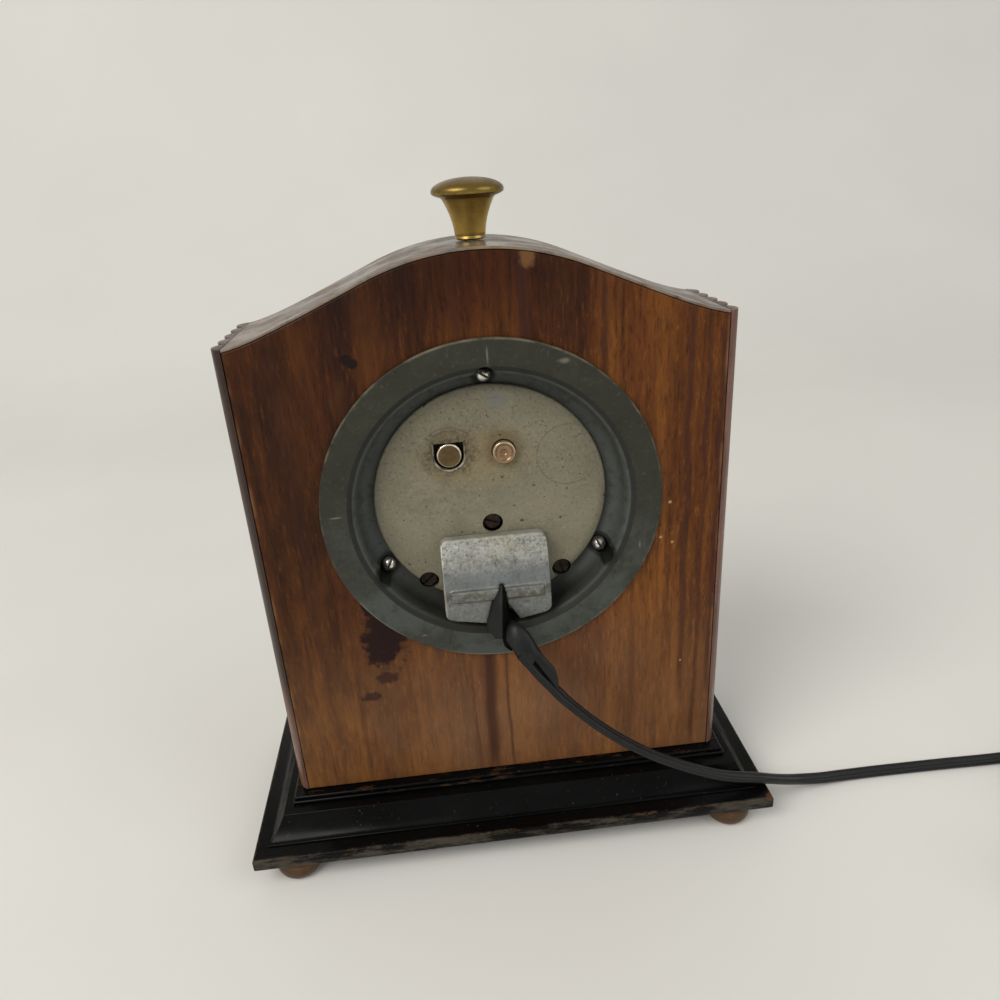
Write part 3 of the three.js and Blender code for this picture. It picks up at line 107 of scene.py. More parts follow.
# Levels and faces of the solids that the pieces are fitted to
BACK_FACE = high("back_board").y
FRONT_FACE = low("front_board").y
HALF_CASE = high("back_board").x
CASE_BOTTOM = low("back_board").z
SHOULDER = high("left_reeding").z
CROWN = high("top_veneer").z
AXIS = middle("rear_ring").z
RING_FACE = high("rear_ring").y
RING_RADIUS = high("rear_ring").x
COVER_RADIUS = high("back_cover").x
COVER_SEAT = low("back_cover").y
CHANNEL_FLOOR = COVER_SEAT - SEAT_RISE
COVER_FACE = CHANNEL_FLOOR + COVER_RISE
SLAB_TOP = high("plinth_slab").z
MOULDING_TOP = high("plinth_moulding").z
START = middle("start_button")
SET = middle("set_knob")


def tone(code):
    """Linear colour of a written sRGB code."""
    channels = (int(code[k:k + 2], 16) / 255 for k in (0, 2, 4))
    return tuple(c / 12.92 if c <= 0.04045 else ((c + 0.055) / 1.055) ** 2.4 for c in channels)


def length_prop(name, description, default):
    return FloatProperty(
        name=name, description=description, default=default, min=0.0, unit="LENGTH", precision=5
    )


def angle_prop(name, description, degrees):
    return FloatProperty(
        name=name, description=description, default=math.radians(degrees), subtype="ANGLE"
    )


def colour_prop(name, description, code):
    return FloatVectorProperty(
        name=name, description=description, default=tone(code), size=3, min=0.0, max=1.0, subtype="COLOR"
    )


class ClockCaseSizes(bpy.types.PropertyGroup):
    """Sizes of the wooden case and its base"""

    crown_radius: length_prop("Crown radius", "Radius of the arc over the crown", 92 * MM)
    flank_angle: angle_prop("Flank angle", "Slope where the crown's arc ends", 23.6)
    flank_reach: length_prop("Flank reach", "How far the flank runs on straight", 26 * MM)
    shoulder_angle: angle_prop("Shoulder angle", "Slope where the arch meets the side", 9)
    shoulder_reach: length_prop("Shoulder reach", "How far the shoulder runs on straight", 9 * MM)
    veneer: length_prop("Veneer", "Thickness of the veneer over the arch", 0.9 * MM)
    arris: length_prop("Arris", "Rounding of the boards' edges", 0.5 * MM)
    reeds: IntProperty(name="Reeds", description="Number of reeds on each side", default=5, min=1)
    reed_bulge: length_prop("Reed bulge", "Height of the reeds over the side", 3.8 * MM)
    reed_web: length_prop("Reed web", "Thickness left in the grooves", 0.6 * MM)


class ClockMetalSizes(bpy.types.PropertyGroup):
    """Sizes of the turned, pressed and cast metal pieces"""

    ring_flat: length_prop("Ring flat", "Radius at which the ring's flat ends", 52.4 * MM)
    ring_rim: length_prop("Ring rim", "Radius of the dish's rim", 50.3 * MM)
    rim_drop: length_prop("Rim drop", "How far the dish's rim lies below the flat", 1.3 * MM)
    ledge: length_prop("Ledge", "Width of the small ledge below the rim", 0.5 * MM)
    dish_wall: length_prop("Dish wall", "Radius of the dish's wall", 49.4 * MM)
    dish_outside: length_prop("Dish outside", "Outer radius of the dish's wall", 51.7 * MM)
    dish_cove: length_prop("Dish cove", "Radius of the hollow between wall and channel", 5.5 * MM)
    channel_inner: length_prop("Channel inner", "Inner radius of the channel", 41 * MM)
    sheet: length_prop("Sheet", "Thickness of the pressed sheet", 1.2 * MM)
    screw_pocket: length_prop("Screw pocket", "Radius of the pockets round the case screws", 3.35 * MM)
    cover_hole: length_prop("Cover holes", "Radius of the holes over the cover screws", 3.9 * MM)
    slot_width: length_prop("Slot width", "Width of the screw slots", 0.9 * MM)
    slot_depth: length_prop("Slot depth", "Depth of the screw slots", 1.0 * MM)
    cast_grain: length_prop("Cast grain", "Fineness to which the cast hood is rounded", 0.4 * MM)


class ClockFlexSizes(bpy.types.PropertyGroup):
    """Sizes of the flex and its coil"""

    width: length_prop("Width", "Width of the flat twin flex", 5.6 * MM)
    thickness: length_prop("Thickness", "Thickness of the flat twin flex", 3.0 * MM)
    coil_radius: length_prop("Coil radius", "Outer radius of the coil's middle line", 36 * MM)
    coil_pitch: length_prop("Coil pitch", "Step from turn to turn", 6.6 * MM)
    coil_rise: length_prop("Coil rise", "Step from layer to layer", 4.0 * MM)
    coil_layers: IntProperty(name="Layers", description="Layers in the coil", default=4, min=1)
    coil_turns: IntProperty(name="Turns", description="Turns in each layer", default=2, min=1)


class ClockColours(bpy.types.PropertyGroup):
    """Colours of the finishes"""

    walnut_dark: colour_prop("Walnut, dark", "Dark grain of the case", "2f1405")
    walnut: colour_prop("Walnut", "Body of the case's wood", "5c310f")
    walnut_light: colour_prop("Walnut, light", "Pale grain of the case", "84511f")
    ebony: colour_prop("Ebonised", "Black polish of the base", "060606")
    rubbed: colour_prop("Rubbed wood", "Bare wood at the base's worn edges", "52371f")
    foot: colour_prop("Foot", "Turned feet", "543a22")
    brass: colour_prop("Brass", "Aged brass", "87703a")
    ring: colour_prop("Ring", "Lacquer of the pressed ring", "2d2d23")
    cover: colour_prop("Cover", "Paint of the cover disc", "7a7562")
    zinc: colour_prop("Zinc", "Die-cast hood", "8b8c88")
    steel: colour_prop("Steel", "Bright screws", "cfccc4")
    rust: colour_prop("Browned steel", "Dark sunk screws", "2a2119")
    rubber: colour_prop("Rubber", "Flex and tape", "121314")
    dial: colour_prop("Dial", "Enamel of the dial", "d9cdac")


class ClockStageLook(bpy.types.PropertyGroup):
    """Floor and light"""

    floor: colour_prop("Floor", "Floor and backdrop", "deddd8")
    sky: FloatProperty(name="Sky", description="Level of the light from all round", default=0.5, min=0.0)
    key: FloatProperty(name="Key", description="Power of the large lamp", default=34.0, min=0.0, unit="POWER")
    lens: FloatProperty(name="Lens", description="Focal length", default=27.817, min=1.0, unit="CAMERA")


# Meshes

# Turn that stands a pattern up to face the front, and the reach within which two points are one
UPRIGHT = Matrix.Rotation(math.pi / 2, 4, "X")
SAME_POINT = 1e-7


def new_piece(name, data):
    """An object in the scene, from a mesh, a curve, a lamp or a camera."""
    piece = bpy.data.objects.new(name, data)
    bpy.context.scene.collection.objects.link(piece)
    return piece


def cleaned(mesh):
    """Joins doubled points and turns the faces outwards."""
    shell = bmesh.new()
    shell.from_mesh(mesh)
    bmesh.ops.remove_doubles(shell, verts=shell.verts, dist=SAME_POINT)
    bmesh.ops.recalc_face_normals(shell, faces=shell.faces)
    shell.to_mesh(mesh)
    shell.free()
    return mesh


def from_faces(name, points, faces):
    """A piece from points and faces."""
    mesh = bpy.data.meshes.new(name)
    mesh.from_pydata(points, [], faces)
    return new_piece(name, cleaned(mesh))


def shown_mesh(piece):
    """Mesh of a piece with its modifiers, its curve or its text worked out."""
    bpy.context.view_layer.update()
    return bpy.data.meshes.new_from_object(piece.evaluated_get(bpy.context.evaluated_depsgraph_get()))


def settled(piece):
    """Makes the modifiers part of the mesh."""
    mesh = shown_mesh(piece)
    piece.modifiers.clear()
    piece.data = mesh
    return piece


def drawn_mesh(curve):
    """Mesh of a curve or a text."""
    pattern = new_piece(curve.name + "_pattern", curve)
    mesh = shown_mesh(pattern)
    bpy.data.objects.remove(pattern)
    return mesh


def cut_sheet(name, outlines, start, end, edge, along="Y"):
    """A piece sawn or punched from sheet: outlines in X and Z (or X and Y), edges rounded."""
    curve = bpy.data.curves.new(name, "CURVE")
    curve.dimensions = "2D"
    curve.fill_mode = "BOTH"
    curve.extrude = (end - start) / 2 - edge
    curve.bevel_depth = edge
    curve.bevel_resolution = 2
    curve.offset = -edge
    for outline in outlines:
        spline = curve.splines.new("POLY")
        spline.points.add(len(outline) - 1)
        for point, (across, up) in zip(spline.points, outline):
            point.co = (across, up, 0, 1)
        spline.use_cyclic_u = True
    mesh = drawn_mesh(curve)
    centre = (start + end) / 2
    if along == "Y":
        mesh.transform(Matrix.Translation((0, centre, 0)) @ UPRIGHT)
    else:
        mesh.transform(Matrix.Translation((0, 0, centre)))
    return new_piece(name, cleaned(mesh))


def softened(profile, radius, steps=4):
    """Rounds the corners of a profile, its ends apart."""
    most = 0.45
    points = [Vector(p) for p in profile]
    result = [points[0]]
    for before, corner, after in zip(points, points[1:], points[2:]):
        reach = min(radius, (before - corner).length * most, (after - corner).length * most)
        start = corner + (before - corner).normalized() * reach
        end = corner + (after - corner).normalized() * reach
        for step in range(steps + 1):
            share = step / steps
            result.append(start.lerp(corner, share).lerp(corner.lerp(end, share), share))
    return [tuple(p) for p in result + [points[-1]]]


def arc(radius, start, end, steps, x=0.0, z=0.0):
    """Points from one angle of a circle to another."""
    angles = (start + (end - start) * step / steps for step in range(steps + 1))
    return [(x + radius * math.cos(angle), z + radius * math.sin(angle)) for angle in angles]


def circle(radius, sides, x=0.0, z=0.0):
    """Points all round a circle."""
    return arc(radius, 0.0, 2 * math.pi, sides, x, z)[:-1]


def quarter(steps):
    """Angles from 0 to a right angle."""
    return [step / steps * math.pi / 2 for step in range(steps + 1)]


def skin(rows, sides):
    """Faces of a tube from rows of points, both ends shut."""
    faces = []
    for under in range(0, (rows - 1) * sides, sides):
        for side in range(sides):
            after = (side + 1) % sides
            faces.append((under + side, under + after, under + sides + after, under + sides + side))
    faces.append(list(range(sides))[::-1])
    faces.append(list(range((rows - 1) * sides, rows * sides)))
    return faces


def on_axis(x=0.0, z=0.0):
    """Turns a piece made along Z to lie along Y at X and Z."""
    return Matrix.Translation((x, 0, z)) @ Matrix.Rotation(-math.pi / 2, 4, "X")


def turned(name, profile, sides, place, ripple=None):
    """A piece turned from radius and height points; a profile off the axis closes on itself."""
    points, rings, faces = [], [], []
    for radius, height in profile:
        if radius < SAME_POINT:
            rings.append([len(points)] * sides)
            points.append(place @ Vector((0, 0, height)))
            continue
        rings.append(list(range(len(points), len(points) + sides)))
        for side in range(sides):
            angle = 2 * math.pi * side / sides
            reach = radius + (ripple(angle, radius, height) if ripple else 0)
            points.append(place @ Vector((reach * math.cos(angle), reach * math.sin(angle), height)))
    if profile[0][0] > SAME_POINT:
        rings.append(rings[0])
    for under, over in zip(rings, rings[1:]):
        for side in range(sides):
            after = (side + 1) % sides
            corners = dict.fromkeys((under[side], under[after], over[after], over[side]))
            if len(corners) > 2:
                faces.append(list(corners))
    return from_faces(name, points, faces)


def stacked(name, levels, arris):
    """Mitred courses from half width, half depth and height, with the corners eased."""
    points = []
    for half_width, half_depth, height in levels:
        for sx, sy in ((-1, -1), (1, -1), (1, 1), (-1, 1)):
            points.append((sx * half_width, sy * half_depth, height))
    piece = from_faces(name, points, skin(len(levels), 4))
    ease = piece.modifiers.new("Eased corners", "BEVEL")
    ease.width = arris
    ease.segments = 3
    ease.limit_method = "ANGLE"
    ease.angle_limit = math.radians(40)
    return settled(piece)


def cut_away(piece, tools):
    """Cuts tool pieces out of a piece."""
    for tool in tools:
        cut = piece.modifiers.new("Cut", "BOOLEAN")
        cut.operation = "DIFFERENCE"
        cut.solver = "EXACT"
        cut.object = tool
    settled(piece)
    for tool in tools:
        bpy.data.objects.remove(tool)
    return piece


def peg(radius, start, end, x, z):
    """Round cutter along Y."""
    return turned("cutter", [(0, start), (radius, start), (radius, end), (0, end)], 48, on_axis(x, z))


def headings(path):
    """The way ahead at each point of a path."""
    return [after - before for before, after in zip([path[0], *path], [*path[1:], path[-1]])]


def swept(name, path, section):
    """A closed tube along a path; its section of sideways and upward offsets stays level."""
    points = []
    for here, ahead in zip(path, headings(path)):
        sideways = Vector((0, 0, 1)).cross(ahead).normalized()
        upward = ahead.normalized().cross(sideways)
        points += [here + sideways * across + upward * up for across, up in section]
    return from_faces(name, points, skin(len(path), len(section)))


def in_mm(points):
    """Points in metres from points written in millimetres."""
    return [Vector(p) * MM for p in points]


def routed(points, step):
    """Evenly spaced points on a smooth curve through the given points."""
    pieces = 40
    knots = [2 * points[0] - points[1], *points, 2 * points[-1] - points[-2]]
    dense = []
    for p0, p1, p2, p3 in zip(knots, knots[1:], knots[2:], knots[3:]):
        t0, t1, t2 = (max((b - a).length ** 0.5, 1e-6) for a, b in ((p0, p1), (p1, p2), (p2, p3)))
        leave = ((p1 - p0) / t0 - (p2 - p0) / (t0 + t1) + (p2 - p1) / t1) * t1
        arrive = ((p2 - p1) / t1 - (p3 - p1) / (t1 + t2) + (p3 - p2) / t2) * t1
        for share in (k / pieces for k in range(pieces)):
            s2, s3 = share ** 2, share ** 3
            dense.append(
                p1 * (2 * s3 - 3 * s2 + 1) + leave * (s3 - 2 * s2 + share)
                + p2 * (3 * s2 - 2 * s3) + arrive * (s3 - s2)
            )
    return evenly(dense + [points[-1]], step)


def evenly(dense, step):
    """Points along a line at even steps, as near to the given step as its length allows."""
    total = sum((b - a).length for a, b in zip(dense, dense[1:]))
    spacing = total / max(1, round(total / step))
    result, walked = [dense[0]], 0.0
    for a, b in zip(dense, dense[1:]):
        run = (b - a).length
        while run > 0 and walked + run >= spacing - 1e-9:
            a = a.lerp(b, (spacing - walked) / run)
            result.append(a)
            run = (b - a).length
            walked = 0.0
        walked += run
    if (result[-1] - dense[-1]).length > spacing / 2:
        result.append(dense[-1])
    return result


def banded(name, edges, thickness, count):
    """A flat wrap through pairs of edge points, as thick as given, with a wrinkled skin."""
    sides, crumple, spread = 20, 0.12, 0.35
    lines = [routed(in_mm(line), 0.2 * MM) for line in zip(*edges)]
    rows = [[line[round(k / (count - 1) * (len(line) - 1))] for line in lines] for k in range(count)]
    middles = [(left + right) / 2 for left, right in rows]
    points = []
    for index, ((left, right), ahead) in enumerate(zip(rows, headings(middles))):
        out = ahead.cross(right - left).normalized() * thickness / 2
        for across, up in circle(1.0, sides):
            wrinkle = 1 + crumple * noise.noise(Vector((2 * across, 2 * up, index * spread)))
            points.append(middles[index] + (right - left) / 2 * across + out * up * wrinkle)
    return from_faces(name, points, skin(count, sides))


# Finishes


def channels(colour):
    """Linear channels of a colour or of its written code."""
    return tone(colour) if isinstance(colour, str) else tuple(colour[:3])


class Finish:
    """A node material built up from its ground colour outwards. Places are the frame's, in metres."""

    def __init__(self, name, **fixed):
        self.material = bpy.data.materials.new(name)
        self.material.use_nodes = True
        self.tree = self.material.node_tree
        self.shader = self.tree.nodes["Principled BSDF"]
        for socket, value in fixed.items():
            self.shader.inputs[socket.replace("_", " ")].default_value = value
        self.noises = {}
        self.colour = None
        self.place = self.add("TexCoord").outputs["Object"]
        split = self.add("SeparateXYZ", {0: self.place})
        self.x, self.y, self.z = split.outputs

    def add(self, kind, values=None, **settings):
        """A new node; a value that is a socket is joined, another is set."""
        node = self.tree.nodes.new("ShaderNode" + kind)
        for key, value in settings.items():
            setattr(node, key, value)
        for socket, value in (values or {}).items():
            if isinstance(value, bpy.types.NodeSocket):
                self.tree.links.new(value, node.inputs[socket])
            else:
                node.inputs[socket].default_value = value
        return node

    def calc(self, operation, *values):
        """Arithmetic on numbers and sockets."""
        return self.add("Math", dict(enumerate(values)), operation=operation).outputs[0]

    def vector(self, operation, *values):
        """Arithmetic on places; gives all that comes out."""
        return self.add("VectorMath", dict(enumerate(values)), operation=operation).outputs

    def noise(self, scale, stretch=(1, 1, 1), detail=4.0, rough=0.55, twist=0.0, shift=(0, 0, 0)):
        """Cloudy values about 0.5; the same call gives the same node."""
        key = (scale, stretch, detail, rough, twist, shift)
        if key not in self.noises:
            spot = self.add("Mapping", {"Vector": self.place, "Location": shift, "Scale": stretch}).outputs[0]
            values = {"Vector": spot, "Scale": scale, "Detail": detail, "Roughness": rough}
            self.noises[key] = self.add("TexNoise", {**values, "Distortion": twist}).outputs["Fac"]
        return self.noises[key]

    def fade(self, value, start, end, low=0.0, high=1.0):
        """Goes smoothly from low to high as a value goes from start to end."""
        values = {"Value": value, "From Min": start, "From Max": end, "To Min": low, "To Max": high}
        return self.add("MapRange", values, interpolation_type="SMOOTHSTEP").outputs[0]

    def both(self, *shares):
        """Where all of the shares are."""
        result = shares[0]
        for share in shares[1:]:
            result = self.calc("MULTIPLY", result, share)
        return result

    def either(self, *shares):
        """Where any of the shares is."""
        result = shares[0]
        for share in shares[1:]:
            result = self.calc("MAXIMUM", result, share)
        return result

    def apart(self, value, level):
        """How far a value lies from a level."""
        return self.calc("ABSOLUTE", self.calc("SUBTRACT", value, level))

    def off(self, centre, reach=(1, 1, 1)):
        """Distance from a centre, counted in the reach along each axis."""
        scaled = self.vector("DIVIDE", self.vector("SUBTRACT", self.place, centre)[0], reach)[0]
        return self.vector("LENGTH", scaled)["Value"]

    def off_line(self, place):
        """Distance from a line along Y through a place."""
        return self.off((place.x, 0, place.z), (1, 1000, 1))

    def off_axis(self):
        """Distance from the dial's axis."""
        flat = self.add("CombineXYZ", {"X": self.x, "Y": 0.0, "Z": self.z}).outputs[0]
        return self.vector("LENGTH", self.vector("SUBTRACT", flat, (0, 0, AXIS))[0])["Value"]

    def patch(self, centre, wide, tall, ragged, grain, soft, deep=1.0):
        """1 in a ragged patch, 0 outside it; it goes deep along Y unless told otherwise."""
        edge = self.calc("MULTIPLY_ADD", self.noise(grain, detail=5.0, rough=0.65), 2 * ragged, -ragged)
        reach = self.calc("ADD", self.off(centre, (wide, deep, tall)), edge)
        return self.fade(reach, 1.0 + soft / 2, 1.0 - soft / 2)

    def marks(self, face, rows, level=0.0):
        """Patches on a face: rows of X, Z over a level, width and height in millimetres, then their edge."""
        return self.either(*(
            self.patch((x * MM, face, level + z * MM), wide * MM, tall * MM, *edge)
            for x, z, wide, tall, *edge in rows
        ))

    def streak(self, x, width, start, end, lean):
        """1 along an upright streak of the grain, 0 beside it."""
        sway, tail = 4.8 * MM, 12 * MM
        bend = self.both(self.calc("SUBTRACT", self.noise(22.0, (0.6, 1, 1)), 0.5), sway)
        leaning = self.both(self.calc("SUBTRACT", self.z, start), lean)
        beside = self.calc("ADD", self.calc("SUBTRACT", self.calc("ADD", self.x, bend), leaning), -x)
        across = self.fade(self.calc("ABSOLUTE", beside), width, 0.15 * width)
        foot = self.fade(self.z, start - tail, start + tail)
        head = self.fade(self.z, end + tail, end - tail)
        return self.both(across, self.both(foot, head))

    def ground(self, value, *stops):
        """Grades the first colour along a value; a stop is a position and a colour."""
        node = self.add("ValToRGB", {"Fac": value})
        steps = node.color_ramp.elements
        while len(steps) < len(stops):
            steps.new(0.5)
        for step, (position, colour) in zip(steps, stops):
            step.position = position
            step.color = (*channels(colour), 1.0)
        self.colour = node.outputs["Color"]

    def stain(self, share, colour, strength=1.0, mode="MIX"):
        """Lays a colour over what is there, as far as share and strength go."""
        if strength != 1.0:
            share = self.both(share, strength)
        values = {0: share, 6: self.colour, 7: (*channels(colour), 1.0)}
        self.colour = self.add("Mix", values, data_type="RGBA", blend_type=mode).outputs[2]

    def relief(self, height, strength, depth):
        """Raises and sinks the surface by a value."""
        normal = self.add("Bump", {"Height": height, "Strength": strength, "Distance": depth}).outputs[0]
        self.tree.links.new(normal, self.shader.inputs["Normal"])

    def show(self, roughness, metallic=None):
        """Joins the finished colour and the given shares to the shader."""
        for socket, value in (("Base Color", self.colour), ("Roughness", roughness), ("Metallic", metallic)):
            if value:
                self.tree.links.new(value, self.shader.inputs[socket])
        return self.material


def colours():
    return bpy.context.scene.clock_colours


def darker(colour, share):
    """A colour with its light cut to a share, or raised where that is over 1."""
    return tuple(c * share for c in channels(colour))


def shades(colour, *stops):
    """Stops of one colour, each with a position and how bright it is there."""
    return [(position, darker(colour, share)) for position, share in stops]


def walnut_ground(finish, grain=(1, 1, 0.05)):
    """Grain, fibres and pores of polished walnut. Returns the fibres, for the relief."""
    look = colours()
    figure = finish.noise(62.0, grain, 5.0, 0.6, 0.5)
    finish.ground(figure, (0.28, look.walnut_dark), (0.5, look.walnut), (0.74, look.walnut_light))
    bands = finish.noise(22.0, (1, 1, 0.1), 4.0, 0.55, 0.5, (0.31, 0, 0))
    finish.stain(finish.fade(bands, 0.42, 0.7, 0.0, 0.3), look.walnut_light)
    finish.stain(finish.fade(bands, 0.5, 0.3, 0.0, 0.35), look.walnut_dark)
    reddish = finish.noise(60.0, (1, 1, 0.12), 4.0, shift=(0.9, 0.1, 0.4))
    finish.stain(finish.fade(reddish, 0.46, 0.66, 0.0, 0.4), "5e2a14")
    lines = finish.noise(360.0, grain, 5.0, 0.7)
    finish.stain(finish.fade(lines, 0.5, 0.36, 0.0, 0.48), darker(look.walnut_dark, 0.8))
    finish.stain(finish.fade(lines, 0.54, 0.68, 0.0, 0.42), look.walnut_light)
    fibres = finish.noise(900.0, tuple(4 * g if g < 1 else g for g in grain), 5.0, 0.7)
    finish.stain(finish.fade(fibres, 0.5, 0.34, 0.0, 0.55), darker(look.walnut_dark, 0.7))
    finish.stain(finish.fade(fibres, 0.54, 0.68, 0.0, 0.45), darker(look.walnut_light, 1.25))
    return fibres


# Streaks of the back board: X, width, lower and upper end in millimetres, lean, strength
BACK_STREAKS = (
    (6.6, 4.2, 29, 96, -0.03, 0.85), (-1.4, 1.0, 29, 90, 0.0, 0.6), (12.5, 1.4, 29, 80, 0.0, 0.35),
    (-14.5, 3.4, 200, 240, 0.0, 0.6), (8.5, 2.2, 208, 240, 0.0, 0.4), (-41.5, 1.6, 186, 232, 0.0, 0.5),
    (-72.0, 2.2, 60, 222, 0.0, 0.65), (-78.5, 1.6, 29, 216, 0.0, 0.6), (-83.5, 1.8, 60, 214, 0.0, 0.65),
    (58.0, 2.0, 29, 150, 0.0, 0.3), (70.0, 3.0, 60, 214, 0.0, 0.3), (-52.0, 2.0, 29, 95, 0.0, 0.25),
)
# Marks, as Finish.marks takes them: X, Z, width, height, raggedness, grain and softness of the edge
BURN = ((45.5, 99.0, 8.5, 12.5, 0.95, 210.0, 0.35), (50.5, 113.5, 2.6, 6.0, 0.8, 300.0, 0.4))
SMEARS = ((46.5, 80.0, 4.4, 2.6, 1.1, 320.0, 0.6), (53.5, 71.7, 4.2, 1.9, 1.1, 360.0, 0.6))
KNOT = ((45.3, 207.2, 2.1, 1.8, 0.35, 300.0, 0.5), (43.7, 205.8, 2.1, 1.7, 0.35, 300.0, 0.5))
CROWN_CHIP = ((-16.2, 235.9, 2.4, 3.6, 0.7, 400.0, 0.8),)
SPECKS = tuple(
    (x, z, size, size, 0.9, 900.0, 0.9)
    for x, z, size in ((-65.8, 144.6, 0.6), (-62.6, 130.4, 0.5), (-67.1, 127.8, 0.5), (-72.1, 73.2, 0.5))
)
SCRATCHES = tuple(
    (x, z, wide, tall, 0.9, 420.0, 1.4)
    for x, z, wide, tall in (
        (-1.2, 56.5, 0.3, 2.6), (56.5, 2.5, 2.0, 0.3), (-27.0, 52.5, 1.6, 0.8), (-54.0, -20.0, 0.3, 1.2),
        (30.0, -50.0, 1.0, 0.3),
    )
)
DISC_SCUFF = ((-3.8, 37.5, 4.2, 3.2, 0.6, 300.0, 0.6),)
RUBBED_ROWS = ((17.0, 1.0, 22.0, 9.0, 0.4, 90.0, 0.8),)


def rear_walnut():
    """Back board: walnut with the dark streaks, stains and rubbed edges of long use, a painted sheen low down
    and painted shade higher up.
    """
    finish = Finish("Walnut back", Coat_Weight=0.03, Coat_Roughness=0.22, Specular_IOR_Level=0.16)
    fibres = walnut_ground(finish)
    # Lighter, milky lower board: partly paler wood, partly a painted sheen for the floor's reflection in the
    # polish.
    low_tone_and_sheen = finish.fade(finish.noise(9.0), 0.3, 0.65, 0.3, 1.0)
    finish.stain(finish.both(finish.fade(finish.z, 0.12, 0.05), low_tone_and_sheen), "8d6d50", 0.5)
    left = finish.fade(finish.x, 0.0, 58 * MM)
    blotch = finish.noise(78.0, (1, 1, 0.3), 6.0, 0.62, shift=(0.2, 0.5, 0.1))
    patches = finish.calc("MULTIPLY_ADD", left, 0.22, 0.14)
    finish.stain(finish.both(patches, finish.fade(blotch, 0.46, 0.72)), "93622a")
    finish.stain(finish.both(patches, finish.fade(blotch, 0.54, 0.28)), "3a1a08")
    dusk = finish.both(left, finish.fade(finish.z, 0.05, 0.13, 0.3, 1.0))
    finish.stain(dusk, (0.47, 0.4, 0.3), mode="MULTIPLY")
    # Painted shade: darker round the middle of the crown and over the upper board, where less light comes up
    # from the floor.
    crown_shade_reach = finish.off((2 * MM, BACK_FACE, CROWN + 4 * MM), (1, 1, 0.8))
    finish.stain(finish.fade(crown_shade_reach, 75 * MM, 12 * MM), (0.32, 0.22, 0.1), mode="MULTIPLY")
    finish.stain(finish.fade(finish.z, 0.11, 0.19), (0.82, 0.78, 0.72), mode="MULTIPLY")
    for x, width, start, end, lean, strength in BACK_STREAKS:
        streak = finish.streak(x * MM, width * MM, start * MM, end * MM, lean)
        finish.stain(streak, "361b14", strength)
    burn = finish.marks(BACK_FACE, BURN)
    finish.stain(finish.marks(BACK_FACE, SMEARS), "2c1414", 0.8)
    finish.stain(burn, "190607", 0.95)
    finish.stain(finish.marks(BACK_FACE, KNOT), "120703", 0.95)
    for speck in SPECKS:
        finish.stain(finish.marks(BACK_FACE, [speck]), "b39a74", 0.7)
    finish.stain(finish.marks(BACK_FACE, CROWN_CHIP), "7d5a36", 0.6)
    side = finish.fade(finish.calc("ABSOLUTE", finish.x), HALF_CASE - 1.6 * MM, HALF_CASE - 0.2 * MM)
    rub = finish.fade(finish.noise(120.0, (1, 1, 0.4), 5.0), 0.45, 0.65)
    finish.stain(finish.both(side, rub), "8d6742", 0.6)
    smoky = finish.noise(28.0, (1, 1, 0.5), 5.0)
    finish.relief(fibres, 0.12, 0.15 * MM)
    return finish.show(finish.calc("ADD", finish.fade(smoky, 0.3, 0.7, 0.34, 0.5), finish.both(burn, 0.2)))


def plain_walnut():
    """Front board and walls: walnut without the marks of the back."""
    finish = Finish("Walnut", Coat_Weight=0.35, Coat_Roughness=0.2, Specular_IOR_Level=0.45)
    fibres = walnut_ground(finish)
    finish.stain(finish.fade(finish.noise(14.0, (1, 1, 0.3), 4.0), 0.4, 0.7, 0.0, 0.5), "3a1d10")
    finish.relief(fibres, 0.12, 0.15 * MM)
    return finish.show(finish.fade(finish.noise(40.0), 0.3, 0.7, 0.3, 0.45))


def reed_walnut():
    """Reeded sides: painted shade in the grooves, reddish crests that are partly rubbed wood and partly a
    painted highlight, and rubbed ends.
    """
    finish = Finish("Walnut reeds", Coat_Weight=0.12, Coat_Roughness=0.25, Specular_IOR_Level=0.3)
    fibres = walnut_ground(finish)
    reach = finish.calc("ABSOLUTE", finish.x)
    outer = high("left_reeding").x
    # Painted shade: darker in the grooves between the reeds.
    finish.stain(finish.fade(reach, outer - 1.3 * MM, outer - 3.2 * MM), "120a06", 0.8)
    # Reddish crests: partly rubbed wood, partly a painted highlight on the rounded reeds.
    rubbed = finish.fade(finish.noise(70.0, (1, 1, 0.15)), 0.4, 0.62)
    finish.stain(finish.both(finish.fade(reach, outer - 0.7 * MM, outer), rubbed), "8a5f4c", 0.7)
    # Darker over the upper reeds on the left side, near the back.
    upper_left_dark = finish.both(finish.fade(finish.x, 0.0, 10 * MM), finish.fade(finish.z, 0.06, 0.1))
    near_back = finish.fade(finish.y, BACK_FACE - 9 * MM, BACK_FACE - 4 * MM, 0.3, 0.85)
    finish.stain(finish.both(upper_left_dark, near_back), "1a110d")
    ends = finish.fade(finish.y, BACK_FACE - 2.2 * MM, BACK_FACE - 0.6 * MM)
    worn = finish.fade(finish.noise(90.0, (1, 1, 0.3), 5.0, 0.65), 0.3, 0.6, 0.35, 0.85)
    far_side = finish.fade(finish.x, 0.0, -10 * MM)
    low_down = finish.fade(finish.z, 0.085, 0.05, 0.1, 0.8)
    finish.stain(finish.both(ends, worn, finish.either(far_side, low_down)), "7b5c53")
    finish.relief(fibres, 0.1, 0.12 * MM)
    return finish.show(finish.fade(finish.noise(55.0), 0.3, 0.7, 0.26, 0.42))


